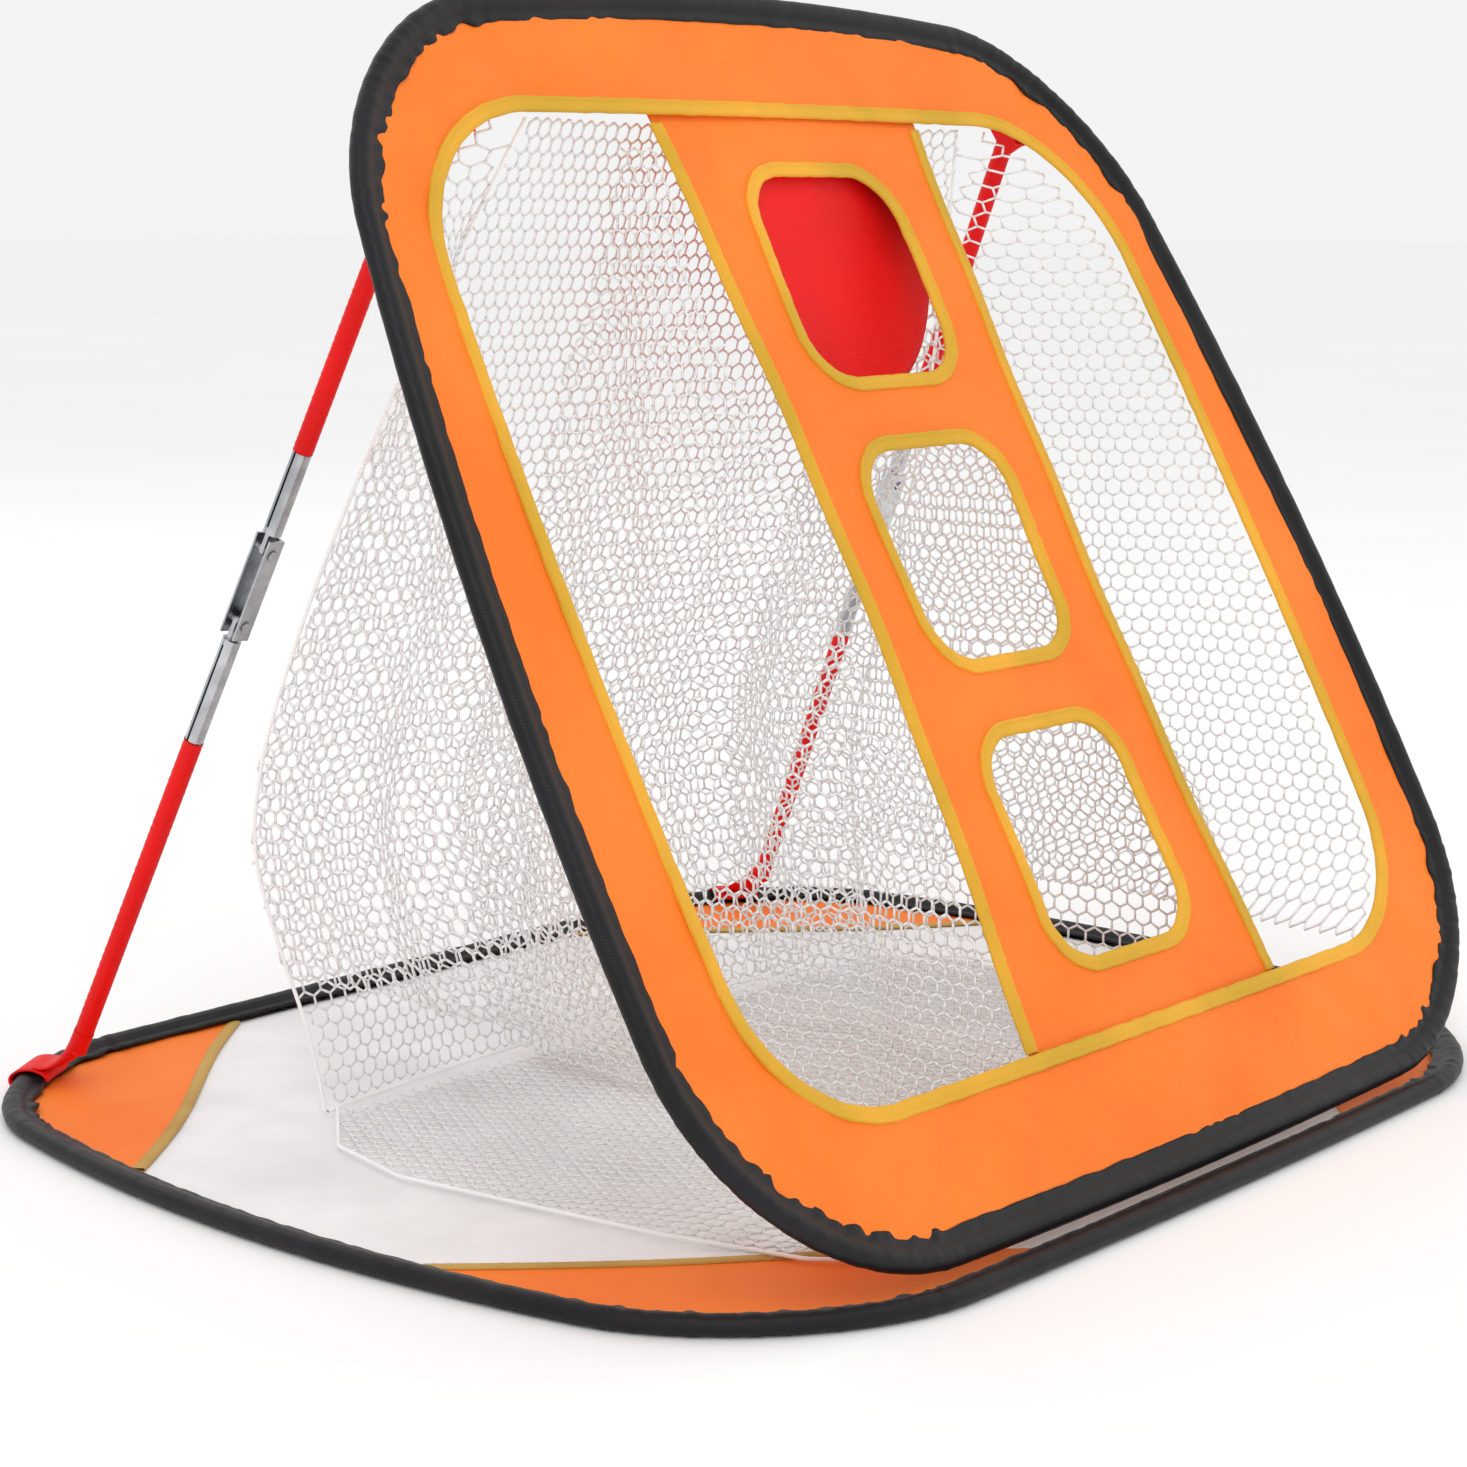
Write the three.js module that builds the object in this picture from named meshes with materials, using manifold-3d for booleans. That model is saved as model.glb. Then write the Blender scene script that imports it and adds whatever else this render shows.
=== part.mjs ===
// Golf chipping net: a pop-up practice target made of two spring-wire hoops.
//
// The base hoop lies on the ground and holds a fabric floor. The front hoop leans back over it
// and holds the target panel: an orange border with one large opening, a central strip with three
// target holes, and a netting bag behind. Two folding struts hold the panel open.
//
// Frame: millimetres, +X to the golfer's right, +Y away from the golfer, +Z up. The origin is on
// the ground, under the middle of the base sleeve's front run. The pieces are drawn with y = 0 at
// that sleeve's inner edge, and the whole group is then moved.
import * as THREE from "three";
import { mergeVertices } from "three/addons/utils/BufferGeometryUtils.js";
import Module from "manifold-3d";

const wasm = await Module();
wasm.setup();

// ---------------------------------------------------------------- driving dimensions
const GAP = 0.3; // clearance between pieces that touch
const OVERCUT = 1; // how far a cutting solid runs past what it cuts

// Hoop outlines at the outer edge of their sleeves: a rounded rectangle whose sides bow outwards.
const FRONT_HOOP = {
  width: 545,
  length: 548,
  nearRadius: 108,
  farRadius: 98,
  sideBow: 22,
  nearBow: 6,
  farBow: 20,
  taper: -0.042, // share by which the far end is wider (or narrower) than the middle
};
const BASE_HOOP = {
  width: FRONT_HOOP.width + 13,
  length: 518,
  nearRadius: 94,
  farRadius: 90,
  sideBow: 46,
  nearBow: 6,
  farBow: 0,
  taper: 0.023,
};

const PANEL_TILT = 61.2; // degrees between the open panel and the ground
const HINGE_Y = 2.4; // the sewn joint runs just behind the base sleeve ...
const HINGE_Z = 7; // ... near its upper edge
const SLEEVE = { width: 15, thick: 9, wall: 1, round: 2.6 };
const WIRE = { size: 4, inset: 6.5, bevel: 1.1, endGap: 2 };
const CRIMP = { length: 34, size: 6.8, bore: 5.5 };
const FABRIC = 1; // thickness of a fabric layer as modelled
const FABRIC_TUCK = 3.6; // depth to which a panel's edge runs into its sleeve
const BASE_FLOOR_Z = 1.2; // underside of the base floor

const OPENING_START = 68; // from the panel's lower edge up to the opening
const OPENING = {
  width: FRONT_HOOP.width - 77,
  length: FRONT_HOOP.length - OPENING_START - 42,
  nearRadius: 62,
  farRadius: 76,
  sideBow: 8,
  nearBow: 1,
  farBow: 2,
  taper: 0,
};
const BINDING = { width: 7, thick: 3, overlap: 5 };

const STRIP = { x: 16, halfWidth: 87, flare: 10, tuck: 14, behind: 2.3 };
const HOLE = { width: 98, length: 102, radius: 24 };
// Up the panel from its lower edge, at shares of the opening's length.
const HOLE_CENTRES = [0.187, 0.5045, 0.822].map((share) => OPENING_START + share * OPENING.length);
const HOLE_NAMES = ["bottom", "middle", "top"];
const FLAP = {
  halfWidth: STRIP.halfWidth + 2,
  depth: 112,
  top: OPENING_START + OPENING.length - 18,
  fullness: 0.8, // below 1 the rounded lower edge is fuller than an ellipse
  swing: 15,
  behind: 5.2,
};

const SEAM = { length: 130, size: 1.6, ahead: 1, below: 3.2 };
const CORNER_REACH = { rear: 168, front: 165 }; // how far a corner patch runs along each side
const HEM = { width: 6, thick: 0.8, frontClear: 34 };

const NET = { thick: 1.2, behindPanel: 5.5 };
// Side profile of the bag's back, from the top of the opening down to the floor.
const NET_BACK = [
  [0, 1],
  [19, 0.883],
  [53, 0.673],
  [83, 0.497],
  [103, 0.364],
  [112, 0.269],
  [106, 0.181],
  [95, 0.093],
  [88, 0.022],
]; // [behind the top edge of the opening, height as a share of that edge's height]
const NET_HALF_WIDTH = {
  top: OPENING.width / 2 - 82,
  belly: OPENING.width / 2 - 16,
  foot: OPENING.width / 2 - 37,
  floorFront: OPENING.width / 2 - 66,
  bellyZ: 165,
};
const NET_REAR_BOW = 14;
const NET_FLOOR_Z = 3.6;

// Struts: foot on the base, head behind the panel's upper corner.
const STRUT_FOOT = { x: BASE_HOOP.width / 2 - 32, y: BASE_HOOP.length - 56, z: 16 };
const STRUT_HEAD = {
  x: (FRONT_HOOP.width / 2) * (1 + FRONT_HOOP.taper) - SLEEVE.width - 42.055,
  up: FRONT_HOOP.length - SLEEVE.width - 21,
  behind: 12,
};
const ROD = { radius: 3, sleeveRadius: 4.75, sleeveBore: 3.4, slit: 1.4, end: 5 };
const FERRULE = { radius: 4.4, bore: 3.4, slit: 1.2, overlap: 14, plug: 3 };
const LINK = { width: 10, depth: 8.6, wall: 1 };
const TONGUE = { thick: 2.4, width: 5.2 };
const PIN = { radius: 1.5, clear: 0.15, head: 2.6, headThick: 0.9, inset: 7 };
const SHOULDER_GAP = 1.8; // lets the link turn past a ferrule's end
// Places along a strut as shares of its length, from the foot.
const ALONG = { ferruleLow: 0.366, linkLow: 0.479, linkHigh: 0.583, ferruleHigh: 0.67 };
const CORNER_TAB = { width: 26, length: 26, thick: 1.6, foldThick: 1.6, clear: 2.5 };
const STRAP = { width: 24, length: 28, thick: 1, back: 13 };

// ---------------------------------------------------------------- materials
const finish = (color, roughness, metalness = 0) =>
  new THREE.MeshStandardMaterial({ color, roughness, metalness });
const ORANGE = finish(0xfd8a32, 0.75);
const YELLOW = finish(0xf0b43c, 0.7);
const BLACK = finish(0x262428, 0.8);
const RED = finish(0xe60808, 0.7);
const WHITE = finish(0xf4f4f2, 0.8);
const SPRING_STEEL = finish(0x8d9094, 0.35, 1);
const ZINC = finish(0xb9bcc0, 0.3, 1);
const GLASS_FIBRE = finish(0x30302f, 0.45);

// ---------------------------------------------------------------- solids
const radians = THREE.MathUtils.degToRad;

// A closed three.js geometry as a manifold solid.
function solidOf(geometry) {
  const bare = geometry.clone();
  bare.deleteAttribute("normal");
  bare.deleteAttribute("uv");
  const merged = mergeVertices(bare, 1e-4);
  return new wasm.Manifold(
    new wasm.Mesh({
      numProp: 3,
      vertProperties: merged.getAttribute("position").array,
      triVerts: new Uint32Array(merged.index.array),
    }),
  );
}

// A manifold solid as a geometry that three.js can show.
function geometryOf(solid) {
  const mesh = solid.getMesh();
  const geometry = new THREE.BufferGeometry();
  geometry.setAttribute("position", new THREE.BufferAttribute(mesh.vertProperties, 3));
  geometry.setIndex(new THREE.BufferAttribute(mesh.triVerts, 1));
  geometry.computeVertexNormals();
  return geometry;
}

const cut = (body, ...tools) =>
  geometryOf(tools.reduce((left, tool) => left.subtract(solidOf(tool)), solidOf(body)));
const join = (...bodies) =>
  geometryOf(bodies.map(solidOf).reduce((whole, body) => whole.add(body)));

// A flat plate between two heights, with optional holes and rounded edges.
function plate(outline, holes, low, high, round = 0) {
  const shape = new THREE.Shape(outline);
  shape.holes = holes.map((hole) => new THREE.Path(hole));
  return new THREE.ExtrudeGeometry(shape, {
    depth: high - low - 2 * round,
    steps: 1,
    bevelEnabled: round > 0,
    bevelThickness: round,
    bevelSize: round,
    bevelOffset: -round,
    bevelSegments: 1,
  }).translate(0, 0, low + round);
}

function box(x, y, z, width, depth, height) {
  return new THREE.BoxGeometry(width, depth, height).translate(x, y, z);
}

function named(name, geometry, material) {
  const mesh = new THREE.Mesh(geometry, material);
  mesh.name = name;
  return mesh;
}

// ---------------------------------------------------------------- outlines
const ARC_STEPS = 6;
const SIDE_STEPS = 6;

// Points of a rounded rectangle, anticlockwise, with its near edge on y = 0.
function roundedRectangle(width, length, nearRadius, farRadius, sideSteps = SIDE_STEPS) {
  const half = width / 2;
  const points = [];
  const side = (from, to) => {
    for (let i = 1; i < sideSteps; i++) points.push(from.clone().lerp(to, i / sideSteps));
  };
  const arc = (x, y, radius, start) => {
    for (let i = 0; i <= ARC_STEPS; i++) {
      const angle = start + (i / ARC_STEPS) * (Math.PI / 2);
      points.push(
        new THREE.Vector2(x + radius * Math.cos(angle), y + radius * Math.sin(angle)),
      );
    }
  };
  const at = (x, y) => new THREE.Vector2(x, y);
  side(at(nearRadius - half, 0), at(half - nearRadius, 0));
  arc(half - nearRadius, nearRadius, nearRadius, -Math.PI / 2);
  side(at(half, nearRadius), at(half, length - farRadius));
  arc(half - farRadius, length - farRadius, farRadius, 0);
  side(at(half - farRadius, length), at(farRadius - half, length));
  arc(farRadius - half, length - farRadius, farRadius, Math.PI / 2);
  side(at(-half, length - farRadius), at(-half, nearRadius));
  arc(nearRadius - half, nearRadius, nearRadius, Math.PI);
  return points;
}

// A hoop's outline, set in by a distance: the rounded rectangle with bowed, tapering sides.
// Its lowest point is at y = inset.
function hoopOutline(hoop, inset = 0) {
  const { width, length } = hoop;
  const points = roundedRectangle(
    width - 2 * inset,
    length - 2 * inset,
    hoop.nearRadius - inset,
    hoop.farRadius - inset,
  );
  return points.map((point) => {
    const across = point.x / (width / 2 - inset);
    const along = (point.y / (length - 2 * inset)) * 2 - 1;
    const endBow = along > 0 ? hoop.farBow : hoop.nearBow;
    return new THREE.Vector2(
      point.x * (1 + hoop.taper * along) + hoop.sideBow * across * (1 - along * along),
      point.y + inset + hoop.nearBow + endBow * along * (1 - across * across),
    );
  });
}

const shifted = (outline, x, y) => outline.map((p) => new THREE.Vector2(p.x + x, p.y + y));
const baseOutline = (inset) => shifted(hoopOutline(BASE_HOOP, inset), 0, -SLEEVE.width);
const frontOutline = (inset) => hoopOutline(FRONT_HOOP, inset);
const openingOutline = (grow) => shifted(hoopOutline(OPENING, -grow), 0, OPENING_START);

// ---------------------------------------------------------------- hoops and sleeves
// One hoop: spring wire with a crimp over its joined ends, in a folded fabric sleeve that is
// open along its inner edge, where the panel is sewn in.
function hoopParts(prefix, outline, middle, slotLow) {
  const low = middle - WIRE.size / 2;
  const high = middle + WIRE.size / 2;
  const wireRing = plate(
    outline(WIRE.inset - WIRE.size / 2),
    [outline(WIRE.inset + WIRE.size / 2)],
    low,
    high,
    WIRE.bevel,
  );
  const rear = Math.max(...outline(WIRE.inset).map((p) => p.y));
  const wire = cut(wireRing, box(0, rear, middle, WIRE.endGap, 4 * WIRE.size, 4 * WIRE.size));
  const crimp = cut(
    new THREE.CylinderGeometry(CRIMP.size / 2, CRIMP.size / 2, CRIMP.length, 12)
      .rotateZ(Math.PI / 2)
      .translate(0, rear, middle),
    new THREE.CylinderGeometry(CRIMP.bore / 2, CRIMP.bore / 2, CRIMP.length + 2 * OVERCUT, 8)
      .rotateZ(Math.PI / 2)
      .translate(0, rear, middle),
  );
  const { width, thick, wall, round } = SLEEVE;
  const pocket = thick / 2 - wall;
  const inner = width - 1.6 * wall - round;
  const sleeve = cut(
    plate(outline(0), [outline(width)], middle - thick / 2, middle + thick / 2, round),
    plate(outline(wall), [outline(inner)], middle - pocket, middle + pocket, round / 2),
    plate(
      outline(inner - OVERCUT),
      [outline(width + OVERCUT)],
      slotLow - GAP,
      slotLow + FABRIC + GAP,
    ),
  );
  return [
    named(`${prefix}_hoop_wire`, wire, SPRING_STEEL),
    named(`${prefix}_hoop_crimp`, crimp, ZINC),
    named(`${prefix}_sleeve`, sleeve, BLACK),
  ];
}

// ---------------------------------------------------------------- front panel
// A binding tape folded over a fabric edge, drawn as a ring between two outlines with a slot.
function bindingRing(inner, grow, middle) {
  const { width, thick, overlap } = BINDING;
  const slot = FABRIC / 2 + GAP;
  return cut(
    plate(grow(width), [inner], middle - thick / 2, middle + thick / 2, 0.5),
    plate(grow(width + OVERCUT), [grow(width - overlap)], middle - slot, middle + slot),
  );
}

const EDGE_IN_BINDING = BINDING.width - BINDING.overlap + GAP;

function frontFabric() {
  const edge = SLEEVE.width - FABRIC_TUCK;
  return plate(frontOutline(edge), [openingOutline(EDGE_IN_BINDING)], -FABRIC / 2, FABRIC / 2);
}

// Half the strip's width at a height up the panel: narrowest in the middle of the opening.
function stripHalf(up) {
  const share = (up - OPENING_START) / OPENING.length;
  return STRIP.halfWidth + STRIP.flare * (2 * share - 1) ** 2;
}

const STRIP_STEPS = 8;

// Points up one edge of the strip, from one height to another, set in by a distance.
function stripEdge(side, from, to, inset) {
  return Array.from({ length: STRIP_STEPS + 1 }, (_, i) => {
    const up = from + ((to - from) * i) / STRIP_STEPS;
    return new THREE.Vector2(STRIP.x + side * (stripHalf(up) - inset), up);
  });
}

function holeOutline(centre, grow) {
  const points = roundedRectangle(
    HOLE.width + 2 * grow,
    HOLE.length + 2 * grow,
    HOLE.radius + grow,
    HOLE.radius + grow,
    1,
  );
  return shifted(points, STRIP.x, centre - HOLE.length / 2 - grow);
}

function targetStrip() {
  const from = OPENING_START - STRIP.tuck;
  const to = OPENING_START + OPENING.length + STRIP.tuck;
  const outline = [
    ...stripEdge(1, from, to, EDGE_IN_BINDING),
    ...stripEdge(-1, from, to, EDGE_IN_BINDING).reverse(),
  ];
  const holes = HOLE_CENTRES.map((centre) => holeOutline(centre, EDGE_IN_BINDING));
  const middle = -STRIP.behind;
  return plate(outline, holes, middle - FABRIC / 2, middle + FABRIC / 2);
}

function stripBinding(side) {
  const from = OPENING_START + OPENING.nearBow + GAP;
  const to = OPENING_START + OPENING.length - GAP;
  const { width, thick, overlap } = BINDING;
  const band = (near, far) => [
    ...stripEdge(side, from, to, near),
    ...stripEdge(side, from, to, far).reverse(),
  ];
  const middle = -STRIP.behind;
  const slot = FABRIC / 2 + GAP;
  const tape = plate(band(0, width), [], middle - thick / 2, middle + thick / 2, 0.5);
  const groove = plate(band(width - overlap, width + OVERCUT), [], middle - slot, middle + slot);
  return cut(tape, groove);
}

function redFlap() {
  const { halfWidth, depth } = FLAP;
  const outline = [];
  for (let i = 0; i <= 2 * ARC_STEPS; i++) {
    const angle = Math.PI * (1 + i / (2 * ARC_STEPS));
    const across = Math.sign(Math.cos(angle)) * Math.abs(Math.cos(angle)) ** FLAP.fullness;
    const down = -(Math.abs(Math.sin(angle)) ** FLAP.fullness);
    outline.push(new THREE.Vector2(halfWidth * across, depth * down));
  }
  return plate(outline, [], -FABRIC / 2, FABRIC / 2)
    .rotateX(radians(FLAP.swing))
    .translate(STRIP.x, FLAP.top, -FLAP.behind);
}

// A webbing tab sewn behind an upper corner, with a standing fold beside the strut's head.
function cornerTab(side) {
  const { width, length, thick, foldThick } = CORNER_TAB;
  const face = -BINDING.thick / 2 - GAP;
  const reach = STRUT_HEAD.behind + ROD.sleeveRadius;
  const x = side * STRUT_HEAD.x;
  const foldX = x - side * (ROD.sleeveRadius + CORNER_TAB.clear + foldThick / 2);
  return join(
    box(x, STRUT_HEAD.up, face - thick / 2, width, length, thick),
    box(foldX, STRUT_HEAD.up, (face - reach) / 2, foldThick, length, reach + face),
  );
}

function frontPanel() {
  const panel = new THREE.Group();
  panel.position.set(0, HINGE_Y, HINGE_Z);
  panel.rotation.x = radians(PANEL_TILT);
  panel.add(
    ...hoopParts("front", frontOutline, 0, -FABRIC / 2),
    named("front_panel_fabric", frontFabric(), ORANGE),
    named("opening_binding", bindingRing(openingOutline(0), openingOutline, 0), YELLOW),
    named("target_strip", targetStrip(), ORANGE),
    named("strip_binding_left", stripBinding(-1), YELLOW),
    named("strip_binding_right", stripBinding(1), YELLOW),
    named("red_target_flap", redFlap(), RED),
  );
  HOLE_CENTRES.forEach((centre, i) => {
    const grow = (distance) => holeOutline(centre, distance);
    const ring = bindingRing(grow(0), grow, -STRIP.behind);
    panel.add(named(`target_binding_${HOLE_NAMES[i]}`, ring, YELLOW));
  });
  for (const [hand, side] of SIDES) {
    panel.add(named(`${hand}_corner_tab`, cornerTab(side), RED));
  }
  return panel;
}

// ---------------------------------------------------------------- base
const SIDES = [
  ["left", -1],
  ["right", 1],
];

// Signed distance of a point outside a corner's diagonal hem line.
function cornerLine(side, end) {
  const edge = baseOutline(SLEEVE.width);
  const rear = Math.max(...edge.map((p) => p.y));
  const near = Math.min(...edge.map((p) => p.y));
  const wide = Math.max(...edge.map((p) => p.x));
  const reach = CORNER_REACH[end];
  const from =
    end === "rear"
      ? new THREE.Vector2(side * wide, rear - reach)
      : new THREE.Vector2(side * wide, near + reach);
  const to =
    end === "rear"
      ? new THREE.Vector2(side * (wide - 1.12 * reach), rear)
      : new THREE.Vector2(side * (wide - 1.12 * reach), near);
  return [from, to];
}

// A strip on one side of a corner's hem line, from an offset outwards to another.
function cornerBand(side, end, inner, outer, trim = 0) {
  const [from, to] = cornerLine(side, end);
  const along = to.clone().sub(from).normalize();
  const out = new THREE.Vector2(-along.y, along.x);
  const centre = new THREE.Vector2(0, BASE_HOOP.length / 2);
  if (out.dot(from.clone().sub(centre)) < 0) out.negate();
  const start = from.clone().addScaledVector(along, trim ? trim : -BASE_HOOP.width / 4);
  const stop = to.clone().addScaledVector(along, trim ? -trim : BASE_HOOP.width / 4);
  const corner = (point, distance) => point.clone().addScaledVector(out, distance);
  const band = [
    corner(start, inner),
    corner(stop, inner),
    corner(stop, outer),
    corner(start, outer),
  ];
  return THREE.ShapeUtils.isClockWise(band) ? band.reverse() : band;
}

const CORNERS = SIDES.flatMap(([hand, side]) => [
  [`rear_${hand}`, side, "rear"],
  [`front_${hand}`, side, "front"],
]);

function baseLayer() {
  const edge = baseOutline(SLEEVE.width - FABRIC_TUCK);
  return plate(edge, [], BASE_FLOOR_Z, BASE_FLOOR_Z + FABRIC);
}

function cornerCutter(side, end, inner, outer, trim = 0, low = 0, high = 4) {
  return plate(cornerBand(side, end, inner, outer, trim), [], low - OVERCUT, high);
}

function basePieces() {
  const far = BASE_HOOP.width;
  const floor = cut(
    baseLayer(),
    ...CORNERS.map(([, side, end]) => cornerCutter(side, end, -GAP / 2, far)),
  );
  const pieces = [named("base_floor", floor, WHITE)];
  for (const [name, side, end] of CORNERS) {
    const patch = solidOf(baseLayer()).intersect(
      solidOf(cornerCutter(side, end, GAP / 2, far)),
    );
    pieces.push(named(`${name}_corner_panel`, geometryOf(patch), ORANGE));
    const top = BASE_FLOOR_Z + FABRIC + GAP;
    const hem = plate(
      cornerBand(side, end, -HEM.width / 3, HEM.width, HEM.frontClear),
      [],
      top,
      top + HEM.thick,
    );
    pieces.push(named(`${name}_corner_hem`, hem, YELLOW));
  }
  return pieces;
}

function hingeSeam() {
  return new THREE.CylinderGeometry(SEAM.size / 2, SEAM.size / 2, SEAM.length, 8)
    .rotateZ(Math.PI / 2)
    .translate(0, HINGE_Y - SEAM.ahead, HINGE_Z - SEAM.below);
}

// ---------------------------------------------------------------- netting bag
const tilt = radians(PANEL_TILT);
// The world place of a point on the panel: its height up the panel and how far behind it is.
const behindPanel = (up, behind) =>
  new THREE.Vector2(
    HINGE_Y + up * Math.cos(tilt) + behind * Math.sin(tilt),
    HINGE_Z + up * Math.sin(tilt) - behind * Math.cos(tilt),
  );

const NET_TOP = OPENING_START + OPENING.length + BINDING.width - 1;
const netTop = behindPanel(NET_TOP, NET.behindPanel);

// The bag's back in side view, as [y, z] points from the top down.
const backCurve = new THREE.SplineCurve(
  NET_BACK.map(([back, height]) => new THREE.Vector2(netTop.x + back, height * netTop.y)),
);
const BACK_STEPS = 14;
const backProfile = () => backCurve.getSpacedPoints(BACK_STEPS);

// Half the bag's width at a height.
function netHalf(z) {
  const { top, belly, foot, bellyZ } = NET_HALF_WIDTH;
  const smooth = (value) => value * value * (3 - 2 * value);
  if (z > bellyZ) {
    const share = THREE.MathUtils.clamp((z - bellyZ) / (netTop.y - bellyZ), 0, 1);
    return belly + (top - belly) * share ** 1.7;
  }
  return foot + (belly - foot) * smooth(THREE.MathUtils.clamp(z / bellyZ, 0, 1));
}

// A band of even thickness along a profile in side view, as a closed outline.
function bandOutline(profile, thick) {
  const sideways = (i, distance) => {
    const before = profile[Math.max(i - 1, 0)];
    const after = profile[Math.min(i + 1, profile.length - 1)];
    const along = after.clone().sub(before).normalize();
    return profile[i].clone().add(new THREE.Vector2(-along.y, along.x).multiplyScalar(distance));
  };
  const outline = [
    ...profile.map((_, i) => sideways(i, thick / 2)),
    ...profile.map((_, i) => sideways(i, -thick / 2)).reverse(),
  ];
  return THREE.ShapeUtils.isClockWise(outline) ? outline.reverse() : outline;
}

// Extrudes a side-view outline across the bag and moves each vertex by a rule (x share, y, z).
function acrossBag(outline, steps, place) {
  const geometry = new THREE.ExtrudeGeometry(new THREE.Shape(outline), {
    depth: 2,
    steps,
    bevelEnabled: false,
  });
  const position = geometry.getAttribute("position");
  for (let i = 0; i < position.count; i++) {
    const share = position.getZ(i) - 1;
    const [x, y, z] = place(share, position.getX(i), position.getY(i));
    position.setXYZ(i, x, y, z);
  }
  return geometry;
}

const NET_ACROSS = 6;

function netBack() {
  return acrossBag(bandOutline(backProfile(), NET.thick), NET_ACROSS, (share, y, z) => [
    share * netHalf(z),
    y + NET_REAR_BOW * (1 - share * share),
    z,
  ]);
}

// The bag's lower sheet: down from the opening's lower edge to the floor and back along it.
function netFloor() {
  const start = behindPanel(OPENING_START - BINDING.width + 1, NET.behindPanel);
  const rear = backProfile().at(-1).x - 2 * NET.thick;
  const points = [
    start,
    new THREE.Vector2(start.x + 6, 26),
    new THREE.Vector2(start.x + 22, NET_FLOOR_Z + NET.thick / 2 + 1),
    new THREE.Vector2((start.x + rear) / 2, NET_FLOOR_Z + NET.thick / 2 + 0.4),
    new THREE.Vector2(rear, NET_FLOOR_Z + NET.thick / 2 + 0.4),
  ];
  const half = (y) => {
    const share = THREE.MathUtils.clamp((y - start.x) / (rear - start.x), 0, 1);
    return THREE.MathUtils.lerp(NET_HALF_WIDTH.floorFront, NET_HALF_WIDTH.foot, share);
  };
  return acrossBag(bandOutline(points, NET.thick), 2, (share, y, z) => [
    share * (half(y) - 2),
    y,
    z,
  ]);
}

// A side of the bag, between the opening's edge and the back: flat in side view, its width
// place set by where it is.
function netSide(side) {
  const clear = NET.thick + 1.2;
  const back = backProfile()
    .slice(0, -1)
    .map((p) => new THREE.Vector2(p.x - clear, p.y));
  const foot = new THREE.Vector2(back.at(-1).x - 4, NET_FLOOR_Z + 4);
  const mouth = [0, 1, 2, 3, 4, 5].map((i) =>
    behindPanel(THREE.MathUtils.lerp(118, NET_TOP - 20, i / 5), NET.behindPanel),
  );
  const front = new THREE.Vector2(mouth[0].x + 26, NET_FLOOR_Z + 5);
  const outline = [front, ...mouth, ...back.slice(2), foot];
  const wide = OPENING.width / 2 + 4;
  const geometry = acrossBag(
    THREE.ShapeUtils.isClockWise(outline) ? [...outline].reverse() : outline,
    1,
    (share, y, z) => {
      const mouthY = HINGE_Y + (z - HINGE_Z) / Math.tan(tilt);
      const rearY = netTop.x + 110;
      const back01 = THREE.MathUtils.clamp((y - mouthY) / Math.max(rearY - mouthY, 60), 0, 1);
      const half = THREE.MathUtils.lerp(wide, netHalf(z), back01);
      return [side * (half + 2.2) + (share * NET.thick) / 2, y, z];
    },
  );
  return geometry;
}

// An inner sheet from behind one edge of the strip to the bag's back.
function netDivider(side) {
  const clear = NET.thick + 2;
  const back = backProfile()
    .slice(2, -1)
    .map((p) => new THREE.Vector2(p.x - clear + NET_REAR_BOW / 2, p.y));
  const foot = new THREE.Vector2(back.at(-1).x - 4, NET_FLOOR_Z + 4.4);
  const mouth = [100, NET_TOP - 24].map((up) => behindPanel(up, NET.behindPanel + 2));
  const front = new THREE.Vector2(mouth[0].x + 20, NET_FLOOR_Z + 5.2);
  const outline = [front, ...mouth, ...back, foot];
  const x = STRIP.x + side * (STRIP.halfWidth + 6);
  return acrossBag(
    THREE.ShapeUtils.isClockWise(outline) ? [...outline].reverse() : outline,
    1,
    (share, y, z) => [x + (share * NET.thick) / 2, y, z],
  );
}

function nettingBag() {
  const pieces = [named("net_back", netBack(), WHITE), named("net_floor", netFloor(), WHITE)];
  for (const [hand, side] of SIDES) {
    pieces.push(
      named(`net_${hand}_side`, netSide(side), WHITE),
      named(`net_${hand}_divider`, netDivider(side), WHITE),
    );
  }
  return pieces;
}

// ---------------------------------------------------------------- struts
// A tube or rod along the strut's axis (local +Z), optionally bored and slit on one side.
function rod(from, to, radius, bore = 0, slit = 0, sides = 12) {
  const length = to - from;
  const body = new THREE.CylinderGeometry(radius, radius, length, sides)
    .rotateX(Math.PI / 2)
    .translate(0, 0, (from + to) / 2);
  if (!bore) return body;
  const core = new THREE.CylinderGeometry(bore, bore, length + 2 * OVERCUT, sides)
    .rotateX(Math.PI / 2)
    .translate(0, 0, (from + to) / 2);
  const seam = box(0, radius, (from + to) / 2, slit, 2 * radius, length + 2 * OVERCUT);
  return cut(body, core, seam);
}

function crossBar(radius, length, at, x = 0, sides = 12) {
  return new THREE.CylinderGeometry(radius, radius, length, sides)
    .rotateZ(Math.PI / 2)
    .translate(x, 0, at);
}

// A rivet through the link, along local X.
function rivet(at) {
  const shank = LINK.width + 2 * GAP;
  const head = shank / 2 + PIN.headThick / 2;
  return join(
    crossBar(PIN.radius, shank + PIN.headThick, at),
    crossBar(PIN.head, PIN.headThick, at, head),
    crossBar(PIN.head, PIN.headThick, at, -head),
  );
}

const pinHole = (at) => crossBar(PIN.radius + PIN.clear, 2 * LINK.width, at);

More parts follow.
